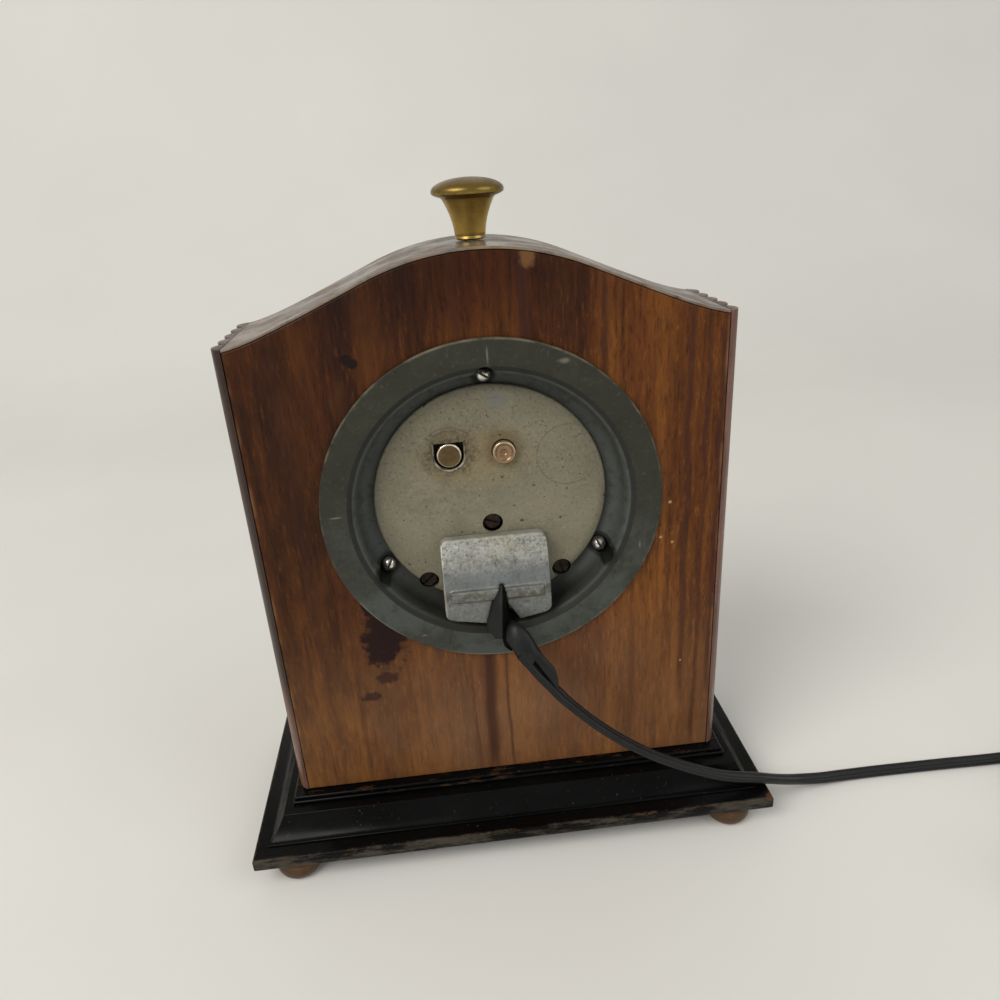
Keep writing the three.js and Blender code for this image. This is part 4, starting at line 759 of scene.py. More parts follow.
def crown_walnut():
    """Arched top: dark veneer under dust and a painted grey reflection of the bright room, rubbed pale along
    its rear edge.
    """
    finish = Finish("Walnut crown", Coat_Weight=0.12, Coat_Roughness=0.2, Specular_IOR_Level=0.2)
    fibres = walnut_ground(finish, (1, 0.05, 1))
    finish.stain(0.35, "2a1a12")
    edge = finish.fade(finish.y, BACK_FACE - 1.8 * MM, BACK_FACE - 0.3 * MM)
    worn = finish.fade(finish.noise(140.0, (1, 0.4, 1), 5.0, 0.65), 0.3, 0.6)
    finish.stain(finish.both(edge, worn), "94836a", 0.75)
    # Grey flecks, partly dust and partly painted reflection, then a broad grey mottling that is a painted
    # reflection of the bright room in the gloss.
    dust_and_sheen = finish.fade(finish.noise(260.0, detail=6.0, rough=0.7), 0.6, 0.72)
    finish.stain(finish.both(dust_and_sheen, finish.fade(finish.noise(20.0), 0.4, 0.6)), "94897a", 0.45)
    grey_reflection = finish.noise(300.0, detail=6.0, rough=0.75, shift=(0.4, 0.2, 0.6))
    finish.stain(finish.fade(grey_reflection, 0.36, 0.56, 0.15, 0.6), "77736c")
    finish.relief(fibres, 0.08, 0.1 * MM)
    return finish.show(finish.fade(finish.noise(60.0, detail=5.0), 0.35, 0.65, 0.22, 0.5))


def ebonised():
    """Base: black polish, rubbed to brown wood along the arrises."""
    finish = Finish("Ebonised wood", Specular_IOR_Level=0.1)
    look = colours()
    cloud = finish.noise(60.0, (0.4, 1, 1), 5.0)
    finish.ground(cloud, *shades(look.ebony, (0.3, 0.6), (0.7, 1.8)))
    wide, deep, foot = high("plinth_slab").x, high("plinth_slab").y, low("plinth_slab").z
    rim = finish.either(
        finish.fade(finish.calc("ABSOLUTE", finish.x), wide - 1.4 * MM, wide - 0.3 * MM),
        finish.fade(finish.calc("ABSOLUTE", finish.y), deep - 1.4 * MM, deep - 0.3 * MM),
    )
    near_top = finish.fade(finish.apart(finish.z, SLAB_TOP), 1.3 * MM, 0.3 * MM)
    near_foot = finish.fade(finish.z, foot + 1.2 * MM, foot + 0.2 * MM)
    chips = finish.fade(finish.noise(420.0, (0.4, 0.4, 1), 6.0, 0.75), 0.5, 0.62)
    places = finish.fade(finish.noise(34.0, (1, 1, 0.2), 3.0), 0.45, 0.6, 0.25, 1.0)
    worn = finish.both(rim, finish.either(near_top, near_foot), places, chips)
    scuffs = finish.fade(finish.noise(160.0, (0.35, 0.35, 1.5), 6.0, 0.75), 0.44, 0.62)
    finish.stain(finish.both(rim, scuffs), "4a443b", 0.75)
    finish.stain(worn, look.rubbed, 0.85)
    corner = finish.patch((-wide, deep, SLAB_TOP), 3 * MM, 1.6 * MM, 0.8, 320.0, 0.5, 3 * MM)
    finish.stain(corner, look.rubbed, 0.8)
    riser = finish.fade(finish.z, MOULDING_TOP + 0.6 * MM, MOULDING_TOP + 1.4 * MM)
    bare = finish.fade(finish.noise(260.0, (0.3, 1, 1.6), 6.0, 0.75), 0.55, 0.66)
    finish.stain(finish.both(riser, bare), "46301f", 0.6)
    finish.stain(finish.fade(finish.noise(520.0, detail=5.0, rough=0.75), 0.63, 0.75), "8a8278", 0.35)
    finish.relief(finish.noise(70.0, (0.3, 0.3, 1), 4.0), 0.1, 0.3 * MM)
    return finish.show(finish.calc("ADD", finish.fade(cloud, 0.3, 0.7, 0.16, 0.3), finish.both(worn, 0.4)))


def turned_foot():
    """Feet: brown turned wood with grime in its rings."""
    finish = Finish("Turned foot", Coat_Weight=0.06, Coat_Roughness=0.3, Specular_IOR_Level=0.25)
    rings = finish.noise(300.0, (0.15, 0.15, 1), 5.0)
    finish.ground(rings, *shades(colours().foot, (0.3, 0.45), (0.55, 1), (0.8, 1.5)))
    finish.stain(finish.fade(finish.noise(180.0, detail=5.0), 0.5, 0.7, 0.0, 0.6), "3a2415")
    finish.relief(rings, 0.15, 0.15 * MM)
    return finish.show(finish.fade(rings, 0.3, 0.7, 0.38, 0.55))


def aged_brass(name="Aged brass", share=1.0):
    """Brass gone olive, lighter on the knob's neck and a little darker above it."""
    finish = Finish(name)
    body = darker(colours().brass, share)
    cloud = finish.noise(130.0, detail=6.0, rough=0.65)
    finish.ground(cloud, *shades(body, (0.3, 0.7), (0.5, 1), (0.75, 1.25)))
    neck_top = CROWN + 15 * MM
    neck = finish.both(
        finish.fade(finish.z, CROWN, CROWN + 2 * MM), finish.fade(finish.z, neck_top, CROWN + 12 * MM)
    )
    finish.stain(neck, darker(body, 2.1), 0.75)
    finish.stain(finish.fade(finish.z, neck_top, CROWN + 17 * MM, 0.0, 0.3), darker(body, 0.45))
    spots = finish.fade(finish.noise(700.0, detail=5.0, rough=0.7), 0.58, 0.7)
    finish.stain(spots, "2c2410", 0.7)
    finish.relief(finish.noise(1600.0, (0.05, 0.05, 1), 2.0), 0.06, 0.05 * MM)
    rough = finish.calc("ADD", finish.fade(cloud, 0.3, 0.75, 0.42, 0.24), finish.both(spots, 0.2))
    return finish.show(rough, finish.fade(spots, 0.0, 1.0, 0.95, 0.5))


def ring_lacquer():
    """Pressed ring: olive-grey lacquer, bluer in the channel, scratched on the flat."""
    finish = Finish("Ring lacquer", Specular_IOR_Level=0.3)
    groove, channel_edge = 51.6 * MM, 52.4 * MM
    cloud = finish.noise(55.0, detail=6.0, rough=0.65)
    finish.ground(cloud, *shades(colours().ring, (0.3, 0.7), (0.55, 1), (0.8, 1.5)))
    radius = finish.off_axis()
    channel = finish.fade(radius, channel_edge, channel_edge - 0.3 * MM)
    finish.stain(channel, "464a47", 0.8)
    finish.stain(finish.fade(finish.noise(620.0, detail=4.0, rough=0.75), 0.55, 0.7), "6a6a5a", 0.2)
    low_down = finish.fade(finish.z, AXIS + 20 * MM, AXIS - 40 * MM)
    finish.stain(finish.both(low_down, finish.fade(cloud, 0.4, 0.6, 0.2, 0.6)), "4c5350")
    finish.stain(finish.fade(finish.noise(240.0, detail=6.0, rough=0.75), 0.5, 0.36), "1d1d17", 0.45)
    # Painted highlight: lighter along the ring's outer rim.
    rim = finish.fade(radius, RING_RADIUS - 0.9 * MM, RING_RADIUS - 0.2 * MM)
    finish.stain(finish.both(rim, finish.fade(cloud, 0.42, 0.6)), "77735f", 0.6)
    finish.stain(finish.marks(RING_FACE, SCRATCHES, AXIS), "8d8b7c", 0.4)
    # Painted shade: a dark line in the groove between the flat and the dish's rim.
    finish.stain(finish.fade(finish.apart(radius, groove), 1.1 * MM, 0.6 * MM), "141511", 0.85)
    shadow = finish.fade(finish.z, AXIS - 12 * MM, AXIS - 44 * MM, 0.0, 0.8)
    finish.stain(finish.both(channel, shadow), "1f1e17")
    # Painted shade: a dark halo round each case screw, where its pocket sinks into the ring.
    for screw in CASE_SCREWS:
        screw_darkening = finish.off_line(middle(screw))
        finish.stain(finish.fade(screw_darkening, 5.4 * MM, 3.9 * MM, 0.0, 0.95), "080806")
    finish.relief(finish.noise(420.0, detail=3.0), 0.08, 0.1 * MM)
    return finish.show(finish.fade(cloud, 0.3, 0.7, 0.42, 0.58))


def cover_paint():
    """Cover disc: speckled grey-cream paint, yellowed round the buttons, dirty at the rim."""
    finish = Finish("Cover paint", Specular_IOR_Level=0.35)
    cloud = finish.noise(48.0, detail=6.0, rough=0.6)
    finish.ground(cloud, *shades(colours().cover, (0.28, 0.78), (0.5, 1), (0.75, 1.22)))
    between = ((START.x + SET.x) / 2, COVER_FACE, START.z - 1.5 * MM)
    finish.stain(finish.patch(between, 19 * MM, 10 * MM, 0.5, 70.0, 1.1), "7d6a42", 0.5)
    for place, reach in ((START, 9.5 * MM), (SET, 7.0 * MM)):
        spot = (place.x, COVER_FACE, place.z + 1.0 * MM)
        finish.stain(finish.patch(spot, reach, reach, 0.45, 160.0, 0.7), "5c4a2c", 0.5)
    rim = finish.fade(finish.off_axis(), COVER_RADIUS - 3.5 * MM, COVER_RADIUS - 0.4 * MM)
    finish.stain(finish.both(rim, finish.fade(cloud, 0.35, 0.6)), "4a463a", 0.55)
    drawn = finish.apart(finish.off((-29.5 * MM, COVER_FACE, AXIS + 14.6 * MM)), 11.7 * MM)
    line = finish.both(finish.fade(drawn, 0.35 * MM, 0.1 * MM), finish.fade(finish.noise(60.0), 0.38, 0.55))
    finish.stain(line, "4f4a3c", 0.5)
    speckle = finish.fade(finish.noise(760.0, detail=5.0, rough=0.75), 0.53, 0.64)
    upper = finish.fade(finish.z, AXIS - 10 * MM, AXIS + 25 * MM, 0.45, 0.8)
    finish.stain(finish.both(speckle, upper), "4f4a3d")
    soot = finish.patch((START.x, COVER_FACE, START.z), 10 * MM, 8 * MM, 0.6, 240.0, 0.8)
    specks = finish.fade(finish.noise(540.0, detail=5.0, rough=0.75), 0.46, 0.58)
    finish.stain(finish.both(soot, specks), "35301f", 0.75)
    finish.stain(finish.fade(finish.noise(430.0, detail=3.0, rough=0.6), 0.66, 0.71), "2a261d", 0.85)
    pale = finish.noise(900.0, detail=4.0, shift=(3.0, 1.0, 2.0))
    finish.stain(finish.fade(pale, 0.56, 0.7), "a8a795", 0.25)
    finish.stain(finish.marks(COVER_FACE, DISC_SCUFF, AXIS), "6d7272", 0.4)
    broken = finish.fade(finish.noise(240.0, (1, 1, 1.6), 6.0, 0.75), 0.48, 0.6)
    finish.stain(finish.both(finish.marks(COVER_FACE, RUBBED_ROWS, AXIS), broken), "5b5546", 0.35)
    finish.relief(finish.noise(650.0, detail=4.0), 0.1, 0.1 * MM)
    return finish.show(finish.fade(cloud, 0.3, 0.7, 0.5, 0.65))


def die_cast_zinc():
    """Hood: dull mottled zinc, pitted, with a painted highlight over its upper part and along its top and
    left edges, and painted shade towards its foot.
    """
    finish = Finish("Die-cast zinc", Specular_IOR_Level=0.5)
    belt, band = AXIS - 28.2 * MM, AXIS - 33.8 * MM
    cloud = finish.noise(120.0, detail=7.0, rough=0.7)
    finish.ground(cloud, *shades(colours().zinc, (0.28, 0.55), (0.5, 1), (0.74, 1.3)))
    grain = finish.noise(820.0, detail=5.0, rough=0.8)
    finish.stain(finish.fade(grain, 0.52, 0.66, 0.0, 0.7), "bdbcb2")
    finish.stain(finish.fade(grain, 0.47, 0.35, 0.0, 0.8), "45443d")
    on_band = finish.fade(finish.apart(finish.z, band), 2.6 * MM, 1.4 * MM)
    grime = finish.fade(finish.noise(330.0, detail=6.0, rough=0.7), 0.42, 0.58)
    finish.stain(finish.both(on_band, grime), "57523c", 0.75)
    ochre = finish.noise(75.0, detail=5.0, shift=(0.7, 0.2, 0.4))
    finish.stain(finish.fade(ochre, 0.52, 0.7, 0.0, 0.4), "7d7658")
    # Painted shade: darker towards the hood's foot, the top being lit from above.
    finish.stain(finish.fade(finish.z, AXIS - 20 * MM, AXIS - 44 * MM, 0.0, 0.5), "474b4d")
    finish.stain(finish.fade(finish.apart(finish.z, belt), 5.0 * MM, 1.0 * MM), "666d72", 0.55)
    # Painted highlight: lighter over the upper part of the hood.
    glow = finish.fade(finish.z, AXIS - 25 * MM, AXIS - 16 * MM, 0.0, 0.22)
    finish.stain(finish.both(glow, finish.fade(grain, 0.4, 0.55)), "cdcabb")
    # Painted highlight along the top edge and the left edge, which face the light.
    top, side = high("terminal_hood").z, high("terminal_hood").x
    arris = finish.either(
        finish.fade(finish.z, top - 1.1 * MM, top - 0.5 * MM),
        finish.fade(finish.x, side - 0.9 * MM, side - 0.4 * MM),
    )
    rubbed = finish.fade(finish.noise(150.0, detail=4.0), 0.3, 0.55, 0.3, 1.0)
    finish.stain(finish.both(arris, rubbed), "bab8ab", 0.5)
    finish.relief(finish.calc("ADD", grain, cloud), 0.22, 0.25 * MM)
    return finish.show(finish.fade(cloud, 0.3, 0.7, 0.38, 0.56), finish.fade(grain, 0.3, 0.7, 0.45, 0.75))


# How far each screw's slot is turned from level, in degrees
SLOT_TURNS = {
    "case_screw_1": 35, "case_screw_2": 62, "case_screw_3": 118,
    "cover_screw_1": 20, "cover_screw_2": 140, "cover_screw_3": 75,
}


def slot_dirt(finish, screws):
    """1 in the slots of the named screws, 0 beside them."""
    slots = []
    half = bpy.context.scene.clock_metal.slot_width / 2
    for screw in screws:
        spot, turn = middle(screw), math.radians(SLOT_TURNS[screw])
        shifted = finish.vector("SUBTRACT", finish.place, spot)[0]
        beside = finish.vector("DOT_PRODUCT", shifted, (-math.sin(turn), 0, math.cos(turn)))["Value"]
        near = finish.fade(finish.off_line(spot), 6 * MM, 5 * MM)
        line = finish.fade(finish.calc("ABSOLUTE", beside), 0.95 * half, 0.75 * half)
        slots.append(finish.both(near, line))
    return finish.either(*slots)


def slotted_steel():
    """Case screws: bright steel, darker, duller and not metallic in the slots."""
    finish = Finish("Slotted steel")
    cloud = finish.noise(420.0, detail=6.0, rough=0.65)
    finish.ground(cloud, *shades(colours().steel, (0.3, 0.5), (0.5, 1), (0.75, 1.3)))
    # Darker, duller and not metallic in the slots.
    screw_darkening = slot_dirt(finish, CASE_SCREWS)
    finish.stain(screw_darkening, "0f0d0a", 0.95)
    finish.relief(finish.noise(1900.0, detail=2.0), 0.05, 0.04 * MM)
    return finish.show(finish.fade(screw_darkening, 0.0, 1.0, 0.2, 0.7), finish.fade(screw_darkening, 0.0, 1.0, 0.95, 0.2))


def bright_steel():
    """Spring and inner steel: bright, with a few brown pits."""
    finish = Finish("Bright steel")
    cloud = finish.noise(260.0, detail=6.0, rough=0.65)
    finish.ground(cloud, *shades(colours().steel, (0.3, 0.5), (0.52, 1), (0.78, 1.25)))
    pits = finish.fade(finish.noise(1300.0, detail=4.0), 0.62, 0.74)
    finish.stain(pits, "3b3026", 0.6)
    finish.relief(finish.noise(1900.0, detail=2.0), 0.05, 0.04 * MM)
    return finish.show(finish.fade(cloud, 0.3, 0.75, 0.4, 0.24), finish.fade(pits, 0.0, 1.0, 0.95, 0.5))


def rubbed_cap(name, place, rim, face, edge, core):
    """Button seen end on: a painted highlight on its rim, brightest at the top, a dull face and a darker
    core.
    """
    finish = Finish(name)
    reach = finish.off_line(place)
    cloud = finish.noise(420.0, detail=5.0, rough=0.65)
    finish.ground(cloud, *shades(face, (0.3, 0.6), (0.5, 1), (0.75, 1.3)))
    inside, outside = rim - 0.7 * MM, rim - 0.4 * MM
    # Painted highlight on the rim, brighter towards the top.
    lit = finish.fade(finish.z, place.z - 2 * MM, place.z + 2.5 * MM, 0.2, 1.0)
    finish.stain(finish.both(finish.fade(reach, inside, outside), lit), edge)
    finish.stain(finish.fade(reach, 2.4 * MM, 0.9 * MM, 0.0, 0.5), core)
    finish.relief(cloud, 0.08, 0.06 * MM)
    rough = finish.fade(reach, inside, outside, 0.34, 0.22)
    return finish.show(rough, finish.fade(cloud, 0.2, 0.5, 0.7, 0.95))


def worn_lip():
    """Lip round the push button: sooty paint, with a painted highlight along its lower bend."""
    finish = Finish("Highlit lip", Specular_IOR_Level=0.4)
    cloud = finish.noise(380.0, detail=5.0, rough=0.65)
    finish.ground(cloud, (0.3, "2b281f"), (0.55, "4b473a"), (0.8, "6c6757"))
    # Painted highlight: lighter along the lower bend of the lip, also smoother and a little metallic there.
    bend = finish.fade(finish.z, START.z + 1.5 * MM, START.z - 3.5 * MM, 0.25, 1.0)
    rubbed = finish.both(bend, finish.fade(cloud, 0.36, 0.56))
    finish.stain(rubbed, "b7b3a4", 0.85)
    finish.relief(cloud, 0.1, 0.06 * MM)
    return finish.show(finish.fade(cloud, 0.3, 0.7, 0.4, 0.55), finish.fade(rubbed, 0.2, 0.8, 0.0, 0.6))


def browned_steel():
    """Cover screws: steel gone brown."""
    finish = Finish("Browned steel")
    rust = colours().rust
    cloud = finish.noise(520.0, detail=6.0, rough=0.7)
    finish.ground(cloud, *shades(rust, (0.3, 0.5), (0.55, 1)), (0.8, "5a3d26"))
    finish.relief(cloud, 0.3, 0.15 * MM)
    return finish.show(finish.fade(cloud, 0.3, 0.7, 0.45, 0.7), finish.fade(cloud, 0.35, 0.65, 0.7, 0.2))


def moulded_phenolic():
    """Plug and insulators: dark moulding with faint swirls."""
    finish = Finish("Moulded phenolic", Coat_Weight=0.2, Coat_Roughness=0.15)
    swirl = finish.noise(90.0, detail=6.0, twist=1.5)
    finish.ground(swirl, *shades("2b1a12", (0.35, 0.7), (0.6, 1), (0.8, 1.6)))
    finish.relief(finish.noise(800.0, detail=3.0), 0.05, 0.06 * MM)
    return finish.show(finish.fade(swirl, 0.3, 0.7, 0.3, 0.45))


def black_rubber(name="Black rubber", lift=0.8, sheen=0.3):
    """Flex and tape: black, dusty, faintly ribbed."""
    finish = Finish(name, Specular_IOR_Level=sheen)
    cloud = finish.noise(150.0, detail=5.0)
    finish.ground(cloud, *shades(colours().rubber, (0.3, 0.6 * lift), (0.7, 1.7 * lift)))
    finish.stain(finish.fade(finish.noise(1200.0, detail=4.0, rough=0.7), 0.62, 0.74), "6b6a66", 0.3)
    finish.relief(finish.noise(700.0, detail=3.0), 0.12, 0.12 * MM)
    return finish.show(finish.fade(cloud, 0.3, 0.7, 0.36, 0.52))


def stacked_iron():
    """Stator: edges of its stacked sheets."""
    finish = Finish("Stacked iron")
    sheets = finish.noise(1800.0, (0.02, 1, 0.02), 1.0)
    finish.ground(sheets, (0.4, "2e2e30"), (0.6, "5f6064"))
    finish.relief(sheets, 0.4, 0.15 * MM)
    return finish.show(finish.fade(sheets, 0.4, 0.6, 0.6, 0.45), finish.fade(sheets, 0.4, 0.6, 0.4, 0.8))


def wound_copper():
    """Winding: lacquered wire, turn beside turn."""
    finish = Finish("Wound copper", Coat_Weight=0.4, Coat_Roughness=0.15)
    turns = finish.noise(2200.0, (1, 0.02, 0.02), 1.0)
    finish.ground(turns, (0.4, "5c2c14"), (0.62, "b3683a"))
    finish.relief(turns, 0.5, 0.15 * MM)
    return finish.show(finish.fade(turns, 0.4, 0.6, 0.45, 0.3), finish.fade(turns, 0.4, 0.6, 0.6, 0.9))


def dial_enamel():
    """Dial: cream enamel with a little foxing."""
    finish = Finish("Dial enamel", Coat_Weight=0.2, Coat_Roughness=0.2)
    cloud = finish.noise(40.0, detail=5.0)
    finish.ground(cloud, *shades(colours().dial, (0.3, 0.85), (0.6, 1), (0.8, 1.08)))
    finish.stain(finish.fade(finish.noise(420.0, detail=4.0), 0.66, 0.74), "8a6f45", 0.35)
    finish.relief(finish.noise(900.0), 0.03, 0.05 * MM)
    return finish.show(finish.fade(cloud, 0.3, 0.7, 0.4, 0.5))


def printed_black():
    """Ink of the dial."""
    finish = Finish("Printed black", Specular_IOR_Level=0.3)
    cloud = finish.noise(500.0, detail=4.0)
    finish.ground(cloud, (0.35, "0c0c0d"), (0.7, "26241f"))
    return finish.show(finish.fade(cloud, 0.3, 0.7, 0.4, 0.6))


def blackened_hands():
    """Hands: steel under black lacquer."""
    finish = Finish("Blackened hands", Metallic=0.5)
    cloud = finish.noise(380.0, detail=5.0)
    finish.ground(cloud, (0.35, "0b0c10"), (0.75, "24262e"))
    finish.relief(cloud, 0.08, 0.05 * MM)
    return finish.show(finish.fade(cloud, 0.3, 0.7, 0.25, 0.42))


def clear_glass():
    """Glass with a faint film."""
    finish = Finish("Clear glass", Transmission_Weight=1.0, IOR=1.47)
    film = finish.noise(30.0, detail=5.0)
    finish.ground(film, (0.3, "f0f4f2"), (0.7, "fbfdfc"))
    return finish.show(finish.fade(film, 0.4, 0.75, 0.01, 0.06))


BUTTON_RADIUS = 4.6 * MM
CAP_RADIUS = 4.25 * MM

# Each finish with the slot of the record that it stands for
FINISHES = {
    "rear_walnut": (rear_walnut, "walnut"),
    "walnut": (plain_walnut, "walnut"),
    "reed_walnut": (reed_walnut, "walnut"),
    "crown_walnut": (crown_walnut, "walnut"),
    "ebonised": (ebonised, "ebonised"),
    "foot": (turned_foot, "foot_wood"),
    "brass": (aged_brass, "brass"),
    "tarnished": (lambda: aged_brass("Tarnished brass", 0.04), "brass"),
    "ring": (ring_lacquer, "ring_steel"),
    "cover": (cover_paint, "cover_paint"),
    "zinc": (die_cast_zinc, "zinc"),
    "steel": (bright_steel, "steel"),
    "slotted": (slotted_steel, "steel"),
    "start_pin": (
        lambda: rubbed_cap("Dull brass pin", START, BUTTON_RADIUS, "66553b", "f0ead8", "5a4a33"), "steel"
    ),
    "set_cap": (lambda: rubbed_cap("Coppery cap", SET, CAP_RADIUS, "957a5f", "cfc0a4", "7c5f4a"), "steel"),
    "lip": (worn_lip, "zinc"),
    "browned": (browned_steel, "browned_steel"),
    "phenolic": (moulded_phenolic, "bakelite"),
    "rubber": (black_rubber, "flex_rubber"),
    "tape": (lambda: black_rubber("Insulating tape"), "flex_rubber"),
    # A near-black copy of the tape: painted shade for the cheek in the hood's notch.
    "shaded_tape": (lambda: black_rubber("Shaded tape", 0.15, 0.06), "flex_rubber"),
    "iron": (stacked_iron, "iron"),
    "copper": (wound_copper, "copper"),
    "dial": (dial_enamel, "dial_paint"),
    "print": (printed_black, "hand_paint"),
    "hands": (blackened_hands, "hand_paint"),
    "glass": (clear_glass, "clear_glass"),
}
made_finishes = {}


def finish_of(name):
    """The named finish, made when it is first asked for."""
    if name not in made_finishes:
        made_finishes[name] = FINISHES[name][0]()
    return made_finishes[name]


def dress(piece, finish, *nodes, crease=35):
    """Gives a piece its finish and its body, and lets it stand for its solids, if it has any."""
    piece.data.materials.clear()
    piece.data.materials.append(finish_of(finish))
    piece.data.shade_smooth()
    piece.data.set_sharp_from_angle(angle=math.radians(crease))
    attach(piece, frame["nodes"][nodes[0]]["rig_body"] if nodes else "case")
    if nodes:
        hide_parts(*nodes)
    return piece


def flat_faces(piece):
    """Keeps broad flat faces flat beside their rounded edges."""
    weigh = piece.modifiers.new("Flat faces", "WEIGHTED_NORMAL")
    weigh.keep_sharp = True


# Case

# Radii of the holes for the pressed ring and for the bezel
BACK_HOLE = 53 * MM
FRONT_HOLE = 52 * MM
FEET = ("foot_rear_left", "foot_rear_right", "foot_front_left", "foot_front_right")


def arch(drop):
    """Points over the arch from the +X shoulder to the -X one, drop below the outer line."""
    steps = 28
    sizes = bpy.context.scene.clock_case
    radius, slope = sizes.crown_radius, sizes.flank_angle
    crown = Vector((radius * math.sin(slope), CROWN - drop - radius * (1 - math.cos(slope))))
    flank = crown + Vector((math.cos(slope), -math.sin(slope))) * sizes.flank_reach
    lean = sizes.shoulder_angle
    corner = Vector((HALF_CASE, SHOULDER - drop))
    shoulder = corner + Vector((-math.cos(lean), math.sin(lean))) * sizes.shoulder_reach
    side, over = [], []
    for step in range(steps):
        t = step / steps
        u = 1 - t
        side.append(corner * u ** 3 + shoulder * (3 * u * u * t) + flank * (3 * u * t * t) + crown * t ** 3)
    for step in range(steps + 1):
        angle = slope * (1 - 2 * step / steps)
        over.append(Vector((radius * math.sin(angle), CROWN - drop - radius * (1 - math.cos(angle)))))
    back = [Vector((-p.x, p.y)) for p in reversed(side)]
    return [tuple(p) for p in side + over + back]


class CLOCK_OT_boards(bpy.types.Operator):
    """Saw the arched back and front boards"""

    bl_idname = "clock.boards"
    bl_label = "Boards"

    def execute(self, context):
        sizes = context.scene.clock_case
        top = arch(CROWN - high("back_board").z)
        outline = [(-HALF_CASE, CASE_BOTTOM), (HALF_CASE, CASE_BOTTOM), *top]
        for name, node, hole, finish in (
            ("rear_panel", "back_board", BACK_HOLE, "rear_walnut"),
            ("front_panel", "front_board", FRONT_HOLE, "walnut"),
        ):
            loops = [outline, circle(hole, 128, 0, AXIS)]
            panel = cut_sheet(name, loops, low(node).y, high(node).y, sizes.arris)
            flat_faces(dress(panel, finish, node))
        return {"FINISHED"}


class CLOCK_OT_crown(bpy.types.Operator):
    """Lay the veneer over the arch"""

    bl_idname = "clock.crown"
    bl_label = "Arched veneer"

    def execute(self, context):
        veneer = context.scene.clock_case.veneer
        outline = arch(0) + arch(veneer)[::-1]
        strip = cut_sheet("crown_veneer", [outline], FRONT_FACE, BACK_FACE, 0.25 * veneer)
        flat_faces(dress(strip, "crown_walnut", "top_veneer"))
        return {"FINISHED"}


class CLOCK_OT_reeds(bpy.types.Operator):
    """Run the reeded strips down both sides"""

    bl_idname = "clock.reeds"
    bl_label = "Reeded sides"

    def execute(self, context):
        sizes = context.scene.clock_case
        steps, filled, edge = 14, 0.97, 0.15 * MM
        pitch = (BACK_FACE - FRONT_FACE) / sizes.reeds
        bulge = sizes.reed_bulge - sizes.reed_web
        radius = (pitch ** 2 / 4 + bulge ** 2) / (2 * bulge)
        spread = math.asin(pitch / 2 / radius)
        for name, side, node in (("reeds_left", 1, "left_reeding"), ("reeds_right", -1, "right_reeding")):
            base = low(node).x if side > 0 else -high(node).x
            outline = [(side * base, FRONT_FACE)]
            for reed in range(sizes.reeds):
                centre = FRONT_FACE + (reed + 0.5) * pitch
                for step in range(steps + 1):
                    angle = spread * (2 * step / steps - 1) * filled
                    reach = base + sizes.reed_bulge - radius * (1 - math.cos(angle))
                    outline.append((side * reach, centre + radius * math.sin(angle)))
            outline.append((side * base, BACK_FACE))
            strip = cut_sheet(name, [outline], low(node).z, high(node).z, edge, "Z")
            dress(strip, "reed_walnut", node)
        return {"FINISHED"}


class CLOCK_OT_base(bpy.types.Operator):
    """Stack the slab, the moulding and the reeded riser"""

    bl_idname = "clock.base"
    bl_label = "Base"

    def execute(self, context):
        for piece, levels, arris in (
            ("slab", self.slab_levels(), 1.6 * MM),
            ("moulding", self.moulding_levels(), 0.4 * MM),
            ("riser", self.riser_levels(), 0.3 * MM),
        ):
            dress(stacked("base_" + piece, levels, arris), "ebonised", "plinth_" + piece)
        return {"FINISHED"}

    def slab_levels(self):
        """Square slab with its upper edge rounded over"""
        wide, deep = high("plinth_slab").xy
        bottom, ease = low("plinth_slab").z, 0.8 * MM
        rows = [(0.5 * ease, bottom), (0, bottom + 0.5 * ease), (0, SLAB_TOP - ease)]
        rows += [(ease * (1 - math.cos(a)), SLAB_TOP - ease * (1 - math.sin(a))) for a in (0.5, 1.0, 1.57)]
        return [(wide - inset, deep - inset, z) for inset, z in rows]

    def moulding_levels(self):
        """Cove from the slab in to the riser's foot"""
        steps, hollow = 18, 0.4
        wide, deep = high("plinth_slab").xy
        foot = high("plinth_moulding").xy
        crest = Vector((wide - 12 * MM, deep - 13.1 * MM))
        start = low("plinth_moulding").z
        toe = start + 0.5 * MM
        levels = [(*foot, start)]
        for step in range(steps + 1):
            share = step / steps
            inward = share + (math.sqrt(1 - (1 - share) ** 2) - share) * hollow
            levels.append((*foot.lerp(crest, inward), toe + (MOULDING_TOP - toe) * share))
        return levels

    def riser_levels(self):
        """Reeds one over the other, each set in by its bulge"""
        bulge, reeds, steps = 0.9 * MM, 2, 12
        wide, deep, top = high("plinth_riser")
        bottom = low("plinth_riser").z
        levels = []
        for reed in range(reeds):
            for step in range(steps + 1 if reed == reeds - 1 else steps):
                angle = step / steps * math.pi
                swell = bulge * (math.sin(angle) - 1 - reed)
                height = (reed + (1 - math.cos(angle)) / 2) / reeds
                levels.append((wide + swell, deep + swell, bottom + (top - bottom) * height))
        return levels


class CLOCK_OT_feet(bpy.types.Operator):
    """Turn the four ball feet"""

    bl_idname = "clock.feet"
    bl_label = "Feet"

    def execute(self, context):
        sole, neck = 5 * MM, 6.5 * MM
        turns = quarter(10)[1:]
        for node in FEET:
            centre, top = middle(node), high(node).z
            belly, waist = high(node).x - centre.x, 0.55 * top
            below, above = belly - sole, belly - neck
            lower = [(sole + below * math.sin(a), waist * (1 - math.cos(a))) for a in turns]
            upper = [(neck + above * math.cos(a), waist + (top - waist) * math.sin(a)) for a in turns]
            profile = [(0, 0), (sole, 0), *lower, *upper, (0, top)]
            ball = turned("ball_" + node, profile, 48, Matrix.Translation((centre.x, centre.y, 0)))
            dress(ball, "foot", node)
        return {"FINISHED"}


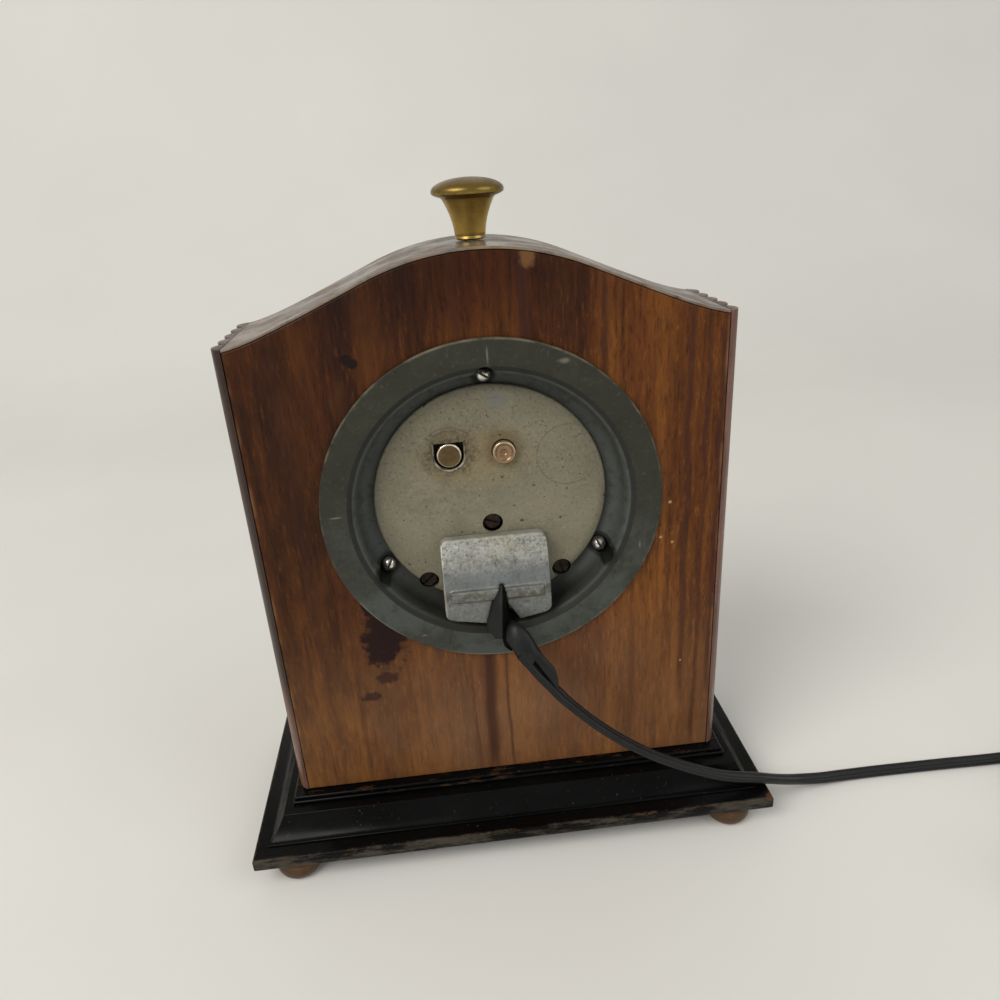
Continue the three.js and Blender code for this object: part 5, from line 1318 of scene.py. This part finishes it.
class CLOCK_OT_knob(bpy.types.Operator):
    """Turn the brass knob on the crown"""

    bl_idname = "clock.knob"
    bl_label = "Crown knob"

    def execute(self, context):
        steps = 14
        foot, neck, collar, cap_height, rim_height = 5.45 * MM, 9.1 * MM, 1.8 * MM, 6.6 * MM, 2.4 * MM
        cap, bottom, top = high("top_knob").x, low("top_knob").z, high("top_knob").z
        under, neck_foot = top - cap_height, bottom + collar
        rim = under + rim_height
        profile = [(0, bottom), (foot - 1.0 * MM, bottom), (foot, bottom + 0.5 * MM)]
        profile.append((foot - 0.25 * MM, bottom + 1.3 * MM))
        for step in range(steps + 1):
            share = step / steps
            flare = 0.25 * share + 0.75 * share ** 2
            reach = foot - 0.1 * MM + (neck - foot) * flare
            profile.append((reach, neck_foot + (under - neck_foot) * share))
        profile += [(neck + 0.5 * MM, under + 0.4 * MM), (cap - 1.3 * MM, under + 0.9 * MM)]
        profile += [(cap - 0.2 * MM, under + 1.5 * MM), (cap, rim - 0.3 * MM), (cap, rim)]
        profile += [(cap * math.cos(a), rim + (top - rim) * math.sin(a)) for a in quarter(steps)[1:-1]]
        knob = turned("crown_knob", profile + [(0, top)], 96, Matrix.Identity(4))
        dress(knob, "brass", "top_knob", crease=28)
        return {"FINISHED"}


# Movement


class CLOCK_OT_ring(bpy.types.Operator):
    """Press the ring at the back with its dish and screw pockets"""

    bl_idname = "clock.ring"
    bl_label = "Pressed ring"

    def execute(self, context):
        sizes = context.scene.clock_metal
        lip, floor, face = BACK_FACE + 0.2 * MM, CHANNEL_FLOOR, RING_FACE
        wall, sheet, cove = sizes.dish_wall, sizes.sheet, sizes.dish_cove
        rim = face - sizes.rim_drop
        under = [
            (sizes.channel_inner, floor - sheet), (wall, floor - sheet), (sizes.dish_outside, floor + sheet),
            (sizes.dish_outside, lip), (RING_RADIUS, lip), (RING_RADIUS, face), (sizes.ring_flat, face),
            (sizes.ring_rim, rim), (sizes.ring_rim - sizes.ledge, rim - sizes.ledge),
            (wall, rim - 3 * sizes.ledge),
        ]
        hollow = [(wall - cove * (1 - math.cos(a)), floor + cove * (1 - math.sin(a))) for a in quarter(12)]
        profile = softened(under, 0.35 * MM) + hollow + [(sizes.channel_inner, floor)]
        ring = turned("pressed_ring", profile, 192, on_axis(0, AXIS))
        dress(cut_away(ring, self.pockets(sizes, floor, face)), "ring", "rear_ring", crease=30)
        return {"FINISHED"}

    def pockets(self, sizes, floor, face):
        """Cutters for the pockets round the case screws and the holes over the cover screws"""
        skim, run_out, half_hole = 0.02 * MM, 1.8 * MM, 5.5 * MM
        radius, past = sizes.screw_pocket, face + MM
        cutters = []
        for place in map(middle, CASE_SCREWS):
            cutters.append(peg(radius, floor + skim, past, place.x, place.z))
            if place.z > AXIS:
                cutters.append(peg(radius, floor + 2 * skim, past, place.x, place.z + run_out))
        for place in map(middle, COVER_SCREWS):
            cutters.append(peg(sizes.cover_hole, floor - half_hole, floor + half_hole, place.x, place.z))
        return cutters


class CLOCK_OT_screws(bpy.types.Operator):
    """Turn the bright case screws and the dark cover screws, and saw their slots"""

    bl_idname = "clock.screws"
    bl_label = "Screws"

    def execute(self, context):
        sizes = context.scene.clock_metal
        for node in CASE_SCREWS:
            self.make_screw(sizes, node, "slotted", 3.9 * MM, 1.5 * MM, self.dome)
        for node in COVER_SCREWS:
            self.make_screw(sizes, node, "browned", 1.3 * MM, 1.4 * MM, self.flat)
        return {"FINISHED"}

    def dome(self, head, top):
        rise = 2.6 * MM
        return [(head * math.cos(a), top - rise * (1 - math.sin(a))) for a in quarter(10)[:-1]]

    def flat(self, head, top):
        ease = 0.35 * MM
        return [(head, top - ease), (head - ease, top)]

    def make_screw(self, sizes, node, finish, head_height, shank, crown):
        """One screw with its slot"""
        place, top, tip = middle(node), high(node).y, low(node).y
        head, seat = high(node).x - place.x, top - head_height
        profile = [(0, tip), (shank, tip), (shank, seat), (head, seat), *crown(head, top), (0, top)]
        kind, number = node.rsplit("_", 1)
        body = turned(f"{kind}_turned_{number}", profile, 40, on_axis(place.x, place.z))
        half, reach = sizes.slot_width / 2, 2 * head
        spin = Matrix.Rotation(math.radians(SLOT_TURNS[node]), 2)
        bar = [(-reach, -half), (reach, -half), (reach, half), (-reach, half)]
        bar = [tuple(spin @ Vector(p) + place.xz) for p in bar]
        slot = cut_sheet("slot", [bar], top - sizes.slot_depth, top + 1 * MM, 0.05 * MM)
        dress(cut_away(body, [slot]), finish, node)


def start_hole(grow=0.0):
    """Round hole for the push button: from its flat top's left end round below to the right end."""
    radius, flat = 5.4 * MM + grow, 4.9 * MM + grow
    below = arc(radius, math.pi, 2 * math.pi, 24, START.x, START.z)
    return [(START.x - radius, START.z + flat), *below, (START.x + radius, START.z + flat)]


class CLOCK_OT_cover(bpy.types.Operator):
    """Press the cover disc with its holes, the lip round the push button and the bow over it"""

    bl_idname = "clock.cover"
    bl_label = "Cover disc"

    def execute(self, context):
        sizes = context.scene.clock_metal
        inside, skirt, ease, room = COVER_FACE - sizes.sheet, COVER_RADIUS - 1.1 * MM, 0.9 * MM, 0.3 * MM
        points = [
            (0, inside), (skirt, inside), (skirt, COVER_SEAT), (COVER_RADIUS, COVER_SEAT),
            (COVER_RADIUS, COVER_FACE), (0, COVER_FACE),
        ]
        disc = turned("cover_disc", softened(points, ease, 6), 192, on_axis(0, AXIS))
        past = COVER_FACE + MM
        holes = [cut_sheet("hole", [start_hole()], inside - MM, past, 0.02 * MM)]
        holes.append(peg(high("set_knob").x - SET.x + room, inside - MM, past, SET.x, SET.z))
        for place in map(middle, COVER_SCREWS):
            holes.append(peg(sizes.cover_hole, COVER_SEAT - MM, past, place.x, place.z))
        dress(cut_away(disc, holes), "cover", "back_cover", crease=30)

        bow_outer, bow_inner = 10.6 * MM, 9.4 * MM
        ends = math.radians(44), math.radians(136)
        bow = arc(bow_outer, *ends, 36, START.x, START.z)
        bow += arc(bow_inner, *ends, 36, START.x, START.z)[::-1]
        lip = start_hole(0.7 * MM) + start_hole(0.03 * MM)[::-1]
        sunk, edge = COVER_FACE - 0.3 * MM, 0.28 * MM
        dress(cut_sheet("start_lip", [lip], sunk, COVER_FACE + 0.55 * MM, edge), "lip")
        dress(cut_sheet("start_bow", [bow], sunk, COVER_FACE + 0.4 * MM, edge), "cover")
        return {"FINISHED"}


class CLOCK_OT_buttons(bpy.types.Operator):
    """Turn the push button with its spring and the setting cap"""

    bl_idname = "clock.buttons"
    bl_label = "Button and setting cap"

    def execute(self, context):
        self.make_button()
        self.wind_spring()
        self.make_cap()
        return {"FINISHED"}

    def make_button(self):
        stem, head = 1.6 * MM, BUTTON_RADIUS
        tip, face = low("start_button").y, high("start_button").y
        neck = face - 9.4 * MM
        points = [(0, tip), (stem, tip), (stem, neck), (head, neck), (head, face), (0, face)]
        pin = turned("start_pin", softened(points, 0.55 * MM), 64, on_axis(START.x, START.z))
        dress(pin, "start_pin", "start_button", crease=50)

    def wind_spring(self):
        """Spring that the push squashes"""
        wire, reach, coils, travel = 0.4 * MM, 3.1 * MM, 4, 3 * MM
        front, back = low("start_spring").y + wire, high("start_spring").y - wire
        helix = arc(reach, 0.0, 2 * math.pi * coils, coils * 32, START.x, START.z)
        rise = (back - front) / (len(helix) - 1)
        path = [Vector((x, front + rise * step, z)) for step, (x, z) in enumerate(helix)]
        spring = swept("push_spring", path, circle(wire, 8))
        dress(spring, "steel", "start_spring")
        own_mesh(spring)

    def make_cap(self):
        """Setting cap: a rim, a sunk face and a dimple in its middle"""
        bore, dimple = 1.8 * MM, 0.8 * MM
        bottom, top = low("set_knob").y, high("set_knob").y
        rim = high("set_knob").x - SET.x
        face, pit, web = top - 0.55 * MM, top - 1.0 * MM, top - 1.7 * MM
        outside = [
            (bore, bottom), (rim, bottom), (rim, top), (rim - 1.0 * MM, top), (rim - 1.35 * MM, face),
            (1.3 * MM, face), (dimple, pit),
        ]
        profile = softened(outside, 0.35 * MM) + [(0, pit), (0, web), (bore, web)]
        cap = turned("setting_cap", profile, 64, on_axis(SET.x, SET.z))
        dress(cap, "set_cap", "set_knob", crease=50)


class CLOCK_OT_hood(bpy.types.Operator):
    """Cast the terminal hood: the solid's form with soft edges and a pitted skin"""

    bl_idname = "clock.hood"
    bl_label = "Terminal hood"

    def execute(self, context):
        pit, dent, dent_radius = 0.06 * MM, 0.5 * MM, 1.5 * MM
        dent_place = Vector((-10 * MM, AXIS - 39.1 * MM))
        hood = new_piece("cast_hood", frame["nodes"]["terminal_hood"].data.copy())
        remesh = hood.modifiers.new("Cast", "REMESH")
        remesh.mode = "VOXEL"
        remesh.voxel_size = context.scene.clock_metal.cast_grain
        smooth = hood.modifiers.new("Soft edges", "SMOOTH")
        smooth.factor = 0.5
        smooth.iterations = 12
        settled(hood)
        normals = [vertex.normal.copy() for vertex in hood.data.vertices]
        for vertex, normal in zip(hood.data.vertices, normals):
            lump = noise.fractal(vertex.co * 260.0, 0.9, 2.0, 3) * pit
            near = (vertex.co.xz - dent_place).length / dent_radius
            if normal.y > 0.7 and near < 1:
                lump -= dent * (1 - near ** 2)
            vertex.co += normal * lump
        dress(hood, "zinc", "terminal_hood", crease=60)
        return {"FINISHED"}


# Front


class CLOCK_OT_front(bpy.types.Operator):
    """Turn the bezel, blow the glass and print the dial"""

    bl_idname = "clock.front"
    bl_label = "Bezel, glass and dial"

    def execute(self, context):
        self.make_bezel()
        self.make_glass()
        bore = 3.3 * MM
        front, rear, edge = low("dial").y, high("dial").y, high("dial").x
        points = [(bore, front), (edge, front), (edge, rear), (bore, rear)]
        dress(turned("dial_disc", points, 128, on_axis(0, AXIS)), "dial", "dial")
        self.print_track(front, edge)
        self.print_numbers(front, edge)
        return {"FINISHED"}

    def make_bezel(self):
        seat, crest = FRONT_FACE - 0.2 * MM, low("bezel").y
        back, rim = high("bezel").y, high("bezel").x
        sleeve, lip, shelf = 51.7 * MM, 47.5 * MM, seat - 2.6 * MM
        inner = sleeve - 1.4 * MM
        points = [
            (inner, shelf), (inner, back), (sleeve, back), (sleeve, seat), (rim, seat),
            (rim, seat - 1.2 * MM), (rim - 1.6 * MM, seat - 2.2 * MM), (rim - 2.2 * MM, crest + 1.2 * MM),
            (rim - 4.4 * MM, crest), (rim - 6.6 * MM, crest + 0.8 * MM), (lip, shelf - 0.8 * MM),
            (lip, shelf),
        ]
        bezel = turned("turned_bezel", softened(points, 0.8 * MM), 160, on_axis(0, AXIS))
        dress(bezel, "brass", "bezel", crease=32)

    def make_glass(self):
        depth, thick, steps = 6 * MM, 1.8 * MM, 24
        edge, rear = high("glass").x, high("glass").y
        radius = (edge ** 2 + depth ** 2) / (2 * depth)
        inside = []
        for step in range(steps + 1):
            reach = edge * (1 - step / steps)
            inside.append((reach, rear - (depth - radius + math.sqrt(radius ** 2 - reach ** 2))))
        outside = [(reach, y - thick) for reach, y in inside]
        dome = turned("domed_glass", outside[::-1] + inside, 128, on_axis(0, AXIS))
        dress(dome, "glass", "glass", crease=40)

    def print_track(self, face, edge):
        """Minute strokes and the line round them, a hair proud of the enamel"""
        outer, line = edge - 6.2 * MM, edge - 6.0 * MM
        line_edge, near, far = line + 0.3 * MM, face - INK, face + INK
        points, faces = [], []
        for minute in range(60):
            turn = Matrix.Rotation(math.radians(6 * minute), 4, "Y")
            half, tall = (0.55 * MM, 3.4 * MM) if minute % 5 == 0 else (0.25 * MM, 2.2 * MM)
            corners = [(-half, outer - tall), (half, outer - tall), (half, outer), (-half, outer)]
            faces += [[len(points) + k for k in stroke] for stroke in skin(2, 4)]
            for y in (near, far):
                points += [turn @ Vector((x, y, z)) + Vector((0, 0, AXIS)) for x, z in corners]
        dress(from_faces("minute_track", points, faces), "print")
        profile = [(line, near), (line_edge, near), (line_edge, far), (line, far)]
        dress(turned("track_line", profile, 160, on_axis(0, AXIS)), "print")

    def print_numbers(self, face, edge):
        """Plain numbers from 1 to 12"""
        reach = edge - 15 * MM
        for hour in range(1, 13):
            text = bpy.data.curves.new("number", "FONT")
            text.body = str(hour)
            text.size = 9.5 * MM
            text.align_x = "CENTER"
            text.align_y = "CENTER"
            text.extrude = INK
            mesh = drawn_mesh(text)
            angle = math.radians(30 * hour)
            place = Matrix.Translation((reach * math.sin(angle), face, AXIS + reach * math.cos(angle)))
            mesh.transform(place @ UPRIGHT)
            dress(new_piece(f"number_{hour}", mesh), "print")


class CLOCK_OT_hands(bpy.types.Operator):
    """Cut the hour hand and the minute hand"""

    bl_idname = "clock.hands"
    bl_label = "Hands"

    def execute(self, context):
        hour, minute, tail_end, widest = 10, 9, -8 * MM, 0.62
        hour_turn = (hour + minute / 60) / 12 * 2 * math.pi
        minute_turn = minute / 60 * 2 * math.pi
        for name, node, reach, boss, bore, width, turn in (
            ("hour_blade", "hour_hand", 27 * MM, 5 * MM, 3.2 * MM, 4.2 * MM, hour_turn),
            ("minute_blade", "minute_hand", 40 * MM, 4 * MM, 2.2 * MM, 3 * MM, minute_turn),
        ):
            spread = math.asin(width / 2 / boss)
            right = arc(boss, spread - math.pi / 2, math.pi / 2 - spread, 16)
            half = [(0.35 * width, tail_end), *right, (widest * width, widest * reach)]
            outline = half + [(0, reach)] + [(-x, z) for x, z in reversed(half)]
            spin = Matrix.Rotation(-turn, 2)
            loops = []
            for loop in (outline, circle(bore, 40)):
                loops.append([tuple(spin @ Vector(p) + Vector((0, AXIS))) for p in loop])
            blade = cut_sheet(name, loops, low(node).y, high(node).y, 0.2 * MM)
            dress(blade, "hands", node)
        return {"FINISHED"}


# Flex

# Tape, in pairs of left and right edge points in millimetres: the wrap round the flex, its loose flap, and
# the blade and cheek that are folded up in the hood's notch
SLEEVE_EDGES = (
    ((2.6, 23, 104.5), (-2.6, 23, 110)), ((0.6, 31, 97.8), (-4, 28.8, 104)),
    ((-2.3, 38, 96.4), (-5.6, 35.4, 105.4)), ((-4.2, 39.3, 93.2), (-9, 37, 102.5)),
    ((-6.3, 40.5, 90.2), (-12, 39, 97)), ((-7.2, 40.8, 89), (-13, 39.4, 95.2)),
)
FLAP_EDGES = (
    ((-8, 40.6, 95), (-11.6, 38.8, 98)), ((-10.6, 41.4, 92), (-14.2, 40, 93)),
    ((-13.6, 42.2, 86.6), (-17.9, 41.5, 88)), ((-16.4, 43, 81.6), (-18.9, 42.5, 83.6)),
    ((-17.6, 43.6, 79), (-18.9, 43.2, 80)),
)
BLADE_EDGES = (
    ((-0.7, 29, 118.9), (-1.1, 29.6, 119.2)), ((2.4, 29.2, 113.4), (-0.7, 31.2, 115.6)),
    ((4.4, 29.8, 108.4), (-0.1, 33.6, 109.8)), ((6.1, 31, 102.5), (0.5, 35.8, 103.2)),
    ((3.4, 35, 99.6), (0.9, 36.6, 100.2)),
)
CHEEK_EDGES = (
    ((-1, 29.6, 119.2), (-1.3, 29, 118.6)), ((-0.8, 31.2, 115.6), (-1.9, 29, 113.4)),
    ((-0.2, 33.6, 109.8), (-2.5, 29.2, 107.5)), ((0.4, 35.8, 103.2), (-4, 30.6, 102)),
    ((0.7, 36.8, 100), (-3.4, 35.6, 98)), ((0.2, 37.8, 97.6), (-2.4, 38.6, 95.6)),
)
# Flex below the tape and from there to the coil, in millimetres
FLEX_LEAD = (
    (-5.6, 39, 94.6), (-8.6, 40.2, 90.8), (-13.2, 41.9, 84.6), (-17.9, 43.1, 78.75), (-20, 43.8, 76.4),
)
FREE_ROUTE = (
    (-17.9, 43.1, 78.75), (-21.2, 44.2, 75), (-34.5, 45.5, 61.2), (-50, 45.5, 48), (-66, 44, 36.8),
    (-86, 42.2, 26), (-104.5, 39.2, 19), (-115.8, 35, 12.6), (-126.7, 30.7, 7), (-137.5, 28.4, 3.9),
    (-148.2, 26.8, 2.3), (-165, 26.2, 1.7), (-195, 26.7, 1.7), (-223, 27.4, 1.7), (-253.7, 28, 2.8),
    (-259.3, 28, 2.8),
)
# Coil: its middle on the floor, the straight leads into it and to the plug, the turns that a climb takes
COIL_CENTRE = Vector((-268, 64, 2.8)) * MM
COIL_LEAD_IN = 8.4 * MM
COIL_LEAD_OUT = 26 * MM
COIL_CLIMB = 0.28


def coil_path(sizes):
    """Middle line of the coil: piled layers, each climbed where the winding turns back."""
    outer, pitch, turns = sizes.coil_radius, sizes.coil_pitch, sizes.coil_turns
    whole = sizes.coil_layers * turns + (sizes.coil_layers - 1) / 2
    reversal = turns + 0.25
    steps = round(whole * 72)
    points = []
    for step in range(steps + 1):
        turn = whole * step / steps
        layer = min(int(turn / (turns + 0.5)), sizes.coil_layers - 1)
        along = turn - layer * (turns + 0.5)
        wound = reversal - abs(along - reversal)
        climb = min(max((along - reversal) / COIL_CLIMB + 0.5, 0), 1)
        radius = outer - pitch * (wound if layer % 2 == 0 else turns - wound)
        lift = sizes.coil_rise * (layer + (1 - math.cos(math.pi * climb)) / 2)
        angle = -math.pi / 2 - 2 * math.pi * turn
        points.append(COIL_CENTRE + Vector((radius * math.cos(angle), radius * math.sin(angle), lift)))
    ahead = Vector((math.sin(angle), -math.cos(angle), 0))
    lead_in = [points[0] + Vector((COIL_LEAD_IN * (1 - k / 4), 0, 0)) for k in range(4)]
    lead_out = [points[-1] + ahead * (COIL_LEAD_OUT * k / 10) for k in range(1, 11)]
    return lead_in + points + lead_out


def twin_section(sizes):
    """Two round cores side by side, joined where they meet."""
    lobe = sizes.thickness / 2
    offset = sizes.width / 2 - lobe
    open_angle = math.acos(offset / lobe) if offset < lobe else 0.0
    right = arc(lobe, open_angle - math.pi, math.pi - open_angle, 9, offset)
    return right + [(-across, -up) for across, up in right]


def rounded_box(left, bottom, right, top, radius):
    """Outline of a box with round corners."""
    points = []
    for x, z, start in ((right, top, 0), (left, top, 90), (left, bottom, 180), (right, bottom, 270)):
        inward = (x - radius if x == right else x + radius, z - radius if z == top else z + radius)
        points += arc(radius, math.radians(start), math.radians(start + 90), 6, *inward)
    return points


class CLOCK_OT_flex(bpy.types.Operator):
    """Lay the flat twin flex from the hood to the floor and coil up the rest"""

    bl_idname = "clock.flex"
    bl_label = "Flex"

    def execute(self, context):
        sizes = context.scene.clock_flex
        free = routed(in_mm(FREE_ROUTE), 3 * MM)
        coil = evenly(coil_path(sizes), 4 * MM)
        path = free + coil[1:]
        section = twin_section(sizes)
        flex = swept("twin_flex", path, section)
        dress(flex, "rubber", "flex", "flex_coil", crease=50)
        plug, *pins = self.make_plug()
        tie = self.make_tie()
        sleeve = self.make_sleeve(section)
        return {"FINISHED"}

    def make_sleeve(self, section):
        """Tape round the flex: the wrapped sleeve, its flap, and the folded blade in the hood's notch"""
        sleeve = banded("taped_sleeve", SLEEVE_EDGES, 5.4 * MM, 40)
        dress(sleeve, "tape", "flex_sleeve", crease=40)
        for name, edges, thickness, finish in (
            ("tape_flap", FLAP_EDGES, 1.6 * MM, "tape"),
            ("tape_blade", BLADE_EDGES, 0.9 * MM, "tape"),
            # The cheek takes a near-black copy of the tape: painted shade in the hood's notch.
            ("tape_cheek", CHEEK_EDGES, 1.2 * MM, "shaded_tape"),
        ):
            dress(banded(name, edges, thickness, 24), finish, crease=50)
        lead = routed(in_mm(FLEX_LEAD), 1.5 * MM)
        dress(swept("flex_lead", lead, section), "rubber", crease=50)
        return sleeve

    def make_tie(self):
        """Band round the coil on the side towards the clock"""
        band, corner, inner_corner = 0.8 * MM, 2.0 * MM, 1.3 * MM
        start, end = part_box("flex_tie")
        outer = rounded_box(start.x, start.z, end.x, end.z, corner)
        inner = rounded_box(start.x + band, start.z + band, end.x - band, end.z - band, inner_corner)
        return dress(cut_sheet("coil_tie", [outer, inner], start.y, end.y, 0.25 * MM), "rubber", "flex_tie")

    def make_plug(self):
        """Round two-pin plug with a fluted grip"""
        body, inlet, pin, pin_offset, flute = 32 * MM, 3.9 * MM, 2 * MM, 6 * MM, 0.5 * MM
        length = high("plug").x - low("plug").x
        centre = middle("plug")
        radius = high("plug").z - centre.z
        place = Matrix.Translation((low("plug").x, centre.y, centre.z)) @ Matrix.Rotation(math.pi / 2, 4, "Y")
        points = [
            (0, 0), (inlet, 0), (0.62 * radius, 0.22 * body), (0.9 * radius, 0.5 * body),
            (radius, 0.72 * body), (radius, body), (0, body),
        ]

        def flutes(angle, reach, height):
            grip = max(0.0, math.sin(math.pi * min(1.0, height / (0.7 * body))))
            return -flute * grip * (0.5 + 0.5 * math.cos(24 * angle)) if reach > 4 * MM else 0.0

        plug = turned("two_pin_plug", softened(points, 1.6 * MM, 6), 144, place, flutes)
        dress(plug, "phenolic", "plug", crease=40)
        points = [(0, body - MM), (pin, body - MM), (pin, length), (0, length)]
        pins = []
        for side in (-1, 1):
            pin_place = place @ Matrix.Translation((0, side * pin_offset, 0))
            pins.append(turned(f"plug_pin_{side + 2}", softened(points, 0.8 * MM), 32, pin_place))
            dress(pins[-1], "brass")
        return plug, *pins


# Works inside the case

WORKS = {
    "walnut": ("top_board", "left_wall", "right_wall"),
    "tarnished": ("rear_plate",),
    "brass": (
        "front_plate", "pillar_1", "pillar_2", "pillar_3", "gear_case", "minute_wheel", "hour_wheel",
        "hand_nut", "terminal_pin_left", "terminal_pin_right",
    ),
    "steel": ("knob_screw", "set_arbor", "rotor", "cannon_pinion", "centre_arbor", "front_ring"),
    "phenolic": ("terminal_block", "coil_bobbin"),
    "iron": ("stator_core",),
    "copper": ("coil_winding",),
}


class CLOCK_OT_works(bpy.types.Operator):
    """Give the pieces inside the case their finishes"""

    bl_idname = "clock.works"
    bl_label = "Inner works"

    def execute(self, context):
        for finish, nodes in WORKS.items():
            for name in nodes:
                mesh = frame["nodes"][name].data
                mesh.materials.clear()
                mesh.materials.append(finish_of(finish))
        return {"FINISHED"}


# Stage

# The camera that was fitted to the photograph: its place in millimetres and its axes
CAMERA_PLACE = Vector((16.565, 281.371, 263.411)) * MM
CAMERA_RIGHT = Vector((-0.9933, 0.09957, -0.05872))
CAMERA_DOWN = Vector((0.09337, 0.39151, -0.91543))
CAMERA_AHEAD = Vector((-0.06816, -0.91477, -0.39818))
LAMP_AIM = Vector((0, 0, 0.12))
SKY_COLOUR = (1.0, 0.985, 0.96, 1.0)


class CLOCK_OT_stage(bpy.types.Operator):
    """Set up the camera, the floor with its backdrop and the light"""

    bl_idname = "clock.stage"
    bl_label = "Stage"

    def execute(self, context):
        look = context.scene.clock_stage
        self.set_camera(context, look)
        self.lay_floor(look)
        self.hang_lamps(context, look)
        context.scene.view_settings.view_transform = "Standard"
        return {"FINISHED"}

    def set_camera(self, context, look):
        data = bpy.data.cameras.new("Camera")
        data.lens = look.lens
        data.sensor_width = 36.0
        data.clip_start = 0.01
        camera = new_piece("Camera", data)
        turn = Matrix((CAMERA_RIGHT, -CAMERA_DOWN, -CAMERA_AHEAD)).transposed().to_4x4()
        camera.matrix_world = Matrix.Translation(CAMERA_PLACE) @ turn
        context.scene.camera = camera

    def lay_floor(self, look):
        wide, near, far, tall, bend = 14.0, 14.0, -1.3, 3.0, 0.7
        foot = far + bend
        line = [(near, 0.0), (foot, 0.0)]
        line += [(foot - bend * math.sin(a), bend * (1 - math.cos(a))) for a in quarter(16)[1:]]
        line.append((far, tall))
        points = [(x, y, z) for y, z in line for x in (-wide, wide)]
        faces = [(2 * k, 2 * k + 1, 2 * k + 3, 2 * k + 2) for k in range(len(line) - 1)]
        mesh = bpy.data.meshes.new("floor")
        mesh.from_pydata(points, [], faces)
        mesh.shade_smooth()
        finish = Finish("Pale floor", Specular_IOR_Level=0.25)
        cloud = finish.noise(3.0, detail=3.0)
        finish.ground(cloud, *shades(look.floor, (0.3, 0.97), (0.7, 1.02)))
        mesh.materials.append(finish.show(finish.fade(cloud, 0.3, 0.7, 0.55, 0.65)))
        new_piece("floor", mesh)

    def hang_lamps(self, context, look):
        world = bpy.data.worlds.new("Studio")
        world.use_nodes = True
        sky = world.node_tree.nodes["Background"]
        sky.inputs["Color"].default_value = SKY_COLOUR
        sky.inputs["Strength"].default_value = look.sky
        context.scene.world = world
        for name, spot, size, power, colour in (
            ("Key lamp", (1.25, 1.15, 1.7), 1.4, look.key, (1.0, 0.97, 0.92)),
            ("Fill lamp", (-1.5, 0.9, 1.2), 1.6, 0.25 * look.key, (0.95, 0.97, 1.0)),
        ):
            data = bpy.data.lights.new(name, "AREA")
            data.shape = "DISK"
            data.size = size
            data.energy = power
            data.color = colour
            lamp = new_piece(name, data)
            lamp.location = spot
            lamp.rotation_euler = (LAMP_AIM - Vector(spot)).to_track_quat("-Z", "Y").to_euler()


OPERATORS = (
    CLOCK_OT_stage, CLOCK_OT_flex, CLOCK_OT_boards, CLOCK_OT_crown, CLOCK_OT_reeds, CLOCK_OT_base,
    CLOCK_OT_feet, CLOCK_OT_knob, CLOCK_OT_ring, CLOCK_OT_screws, CLOCK_OT_cover, CLOCK_OT_buttons,
    CLOCK_OT_hood, CLOCK_OT_front, CLOCK_OT_hands, CLOCK_OT_works,
)
SETTINGS = {
    "clock_case": ClockCaseSizes,
    "clock_metal": ClockMetalSizes,
    "clock_flex": ClockFlexSizes,
    "clock_colours": ClockColours,
    "clock_stage": ClockStageLook,
}


class CLOCK_PT_dressing(bpy.types.Panel):
    """Lists the clock's settings and pieces in the sidebar"""

    bl_idname = "CLOCK_PT_dressing"
    bl_label = "Mantel clock"
    bl_space_type = "VIEW_3D"
    bl_region_type = "UI"
    bl_category = "Clock"

    def draw(self, context):
        for name, group in SETTINGS.items():
            box = self.layout.box()
            box.label(text=group.__doc__)
            for prop in group.__annotations__:
                box.prop(getattr(context.scene, name), prop)
        for operator in OPERATORS:
            self.layout.operator(operator.bl_idname)


def register():
    for group in (*SETTINGS.values(), *OPERATORS, CLOCK_PT_dressing):
        bpy.utils.register_class(group)
    for name, group in SETTINGS.items():
        setattr(bpy.types.Scene, name, PointerProperty(type=group))


def unregister():
    for name in SETTINGS:
        delattr(bpy.types.Scene, name)
    for group in (CLOCK_PT_dressing, *reversed(OPERATORS), *SETTINGS.values()):
        bpy.utils.unregister_class(group)


def main():
    register()
    for operator in OPERATORS:
        group, action = operator.bl_idname.split(".")
        getattr(getattr(bpy.ops, group), action)()


if __name__ == "__main__":
    main()
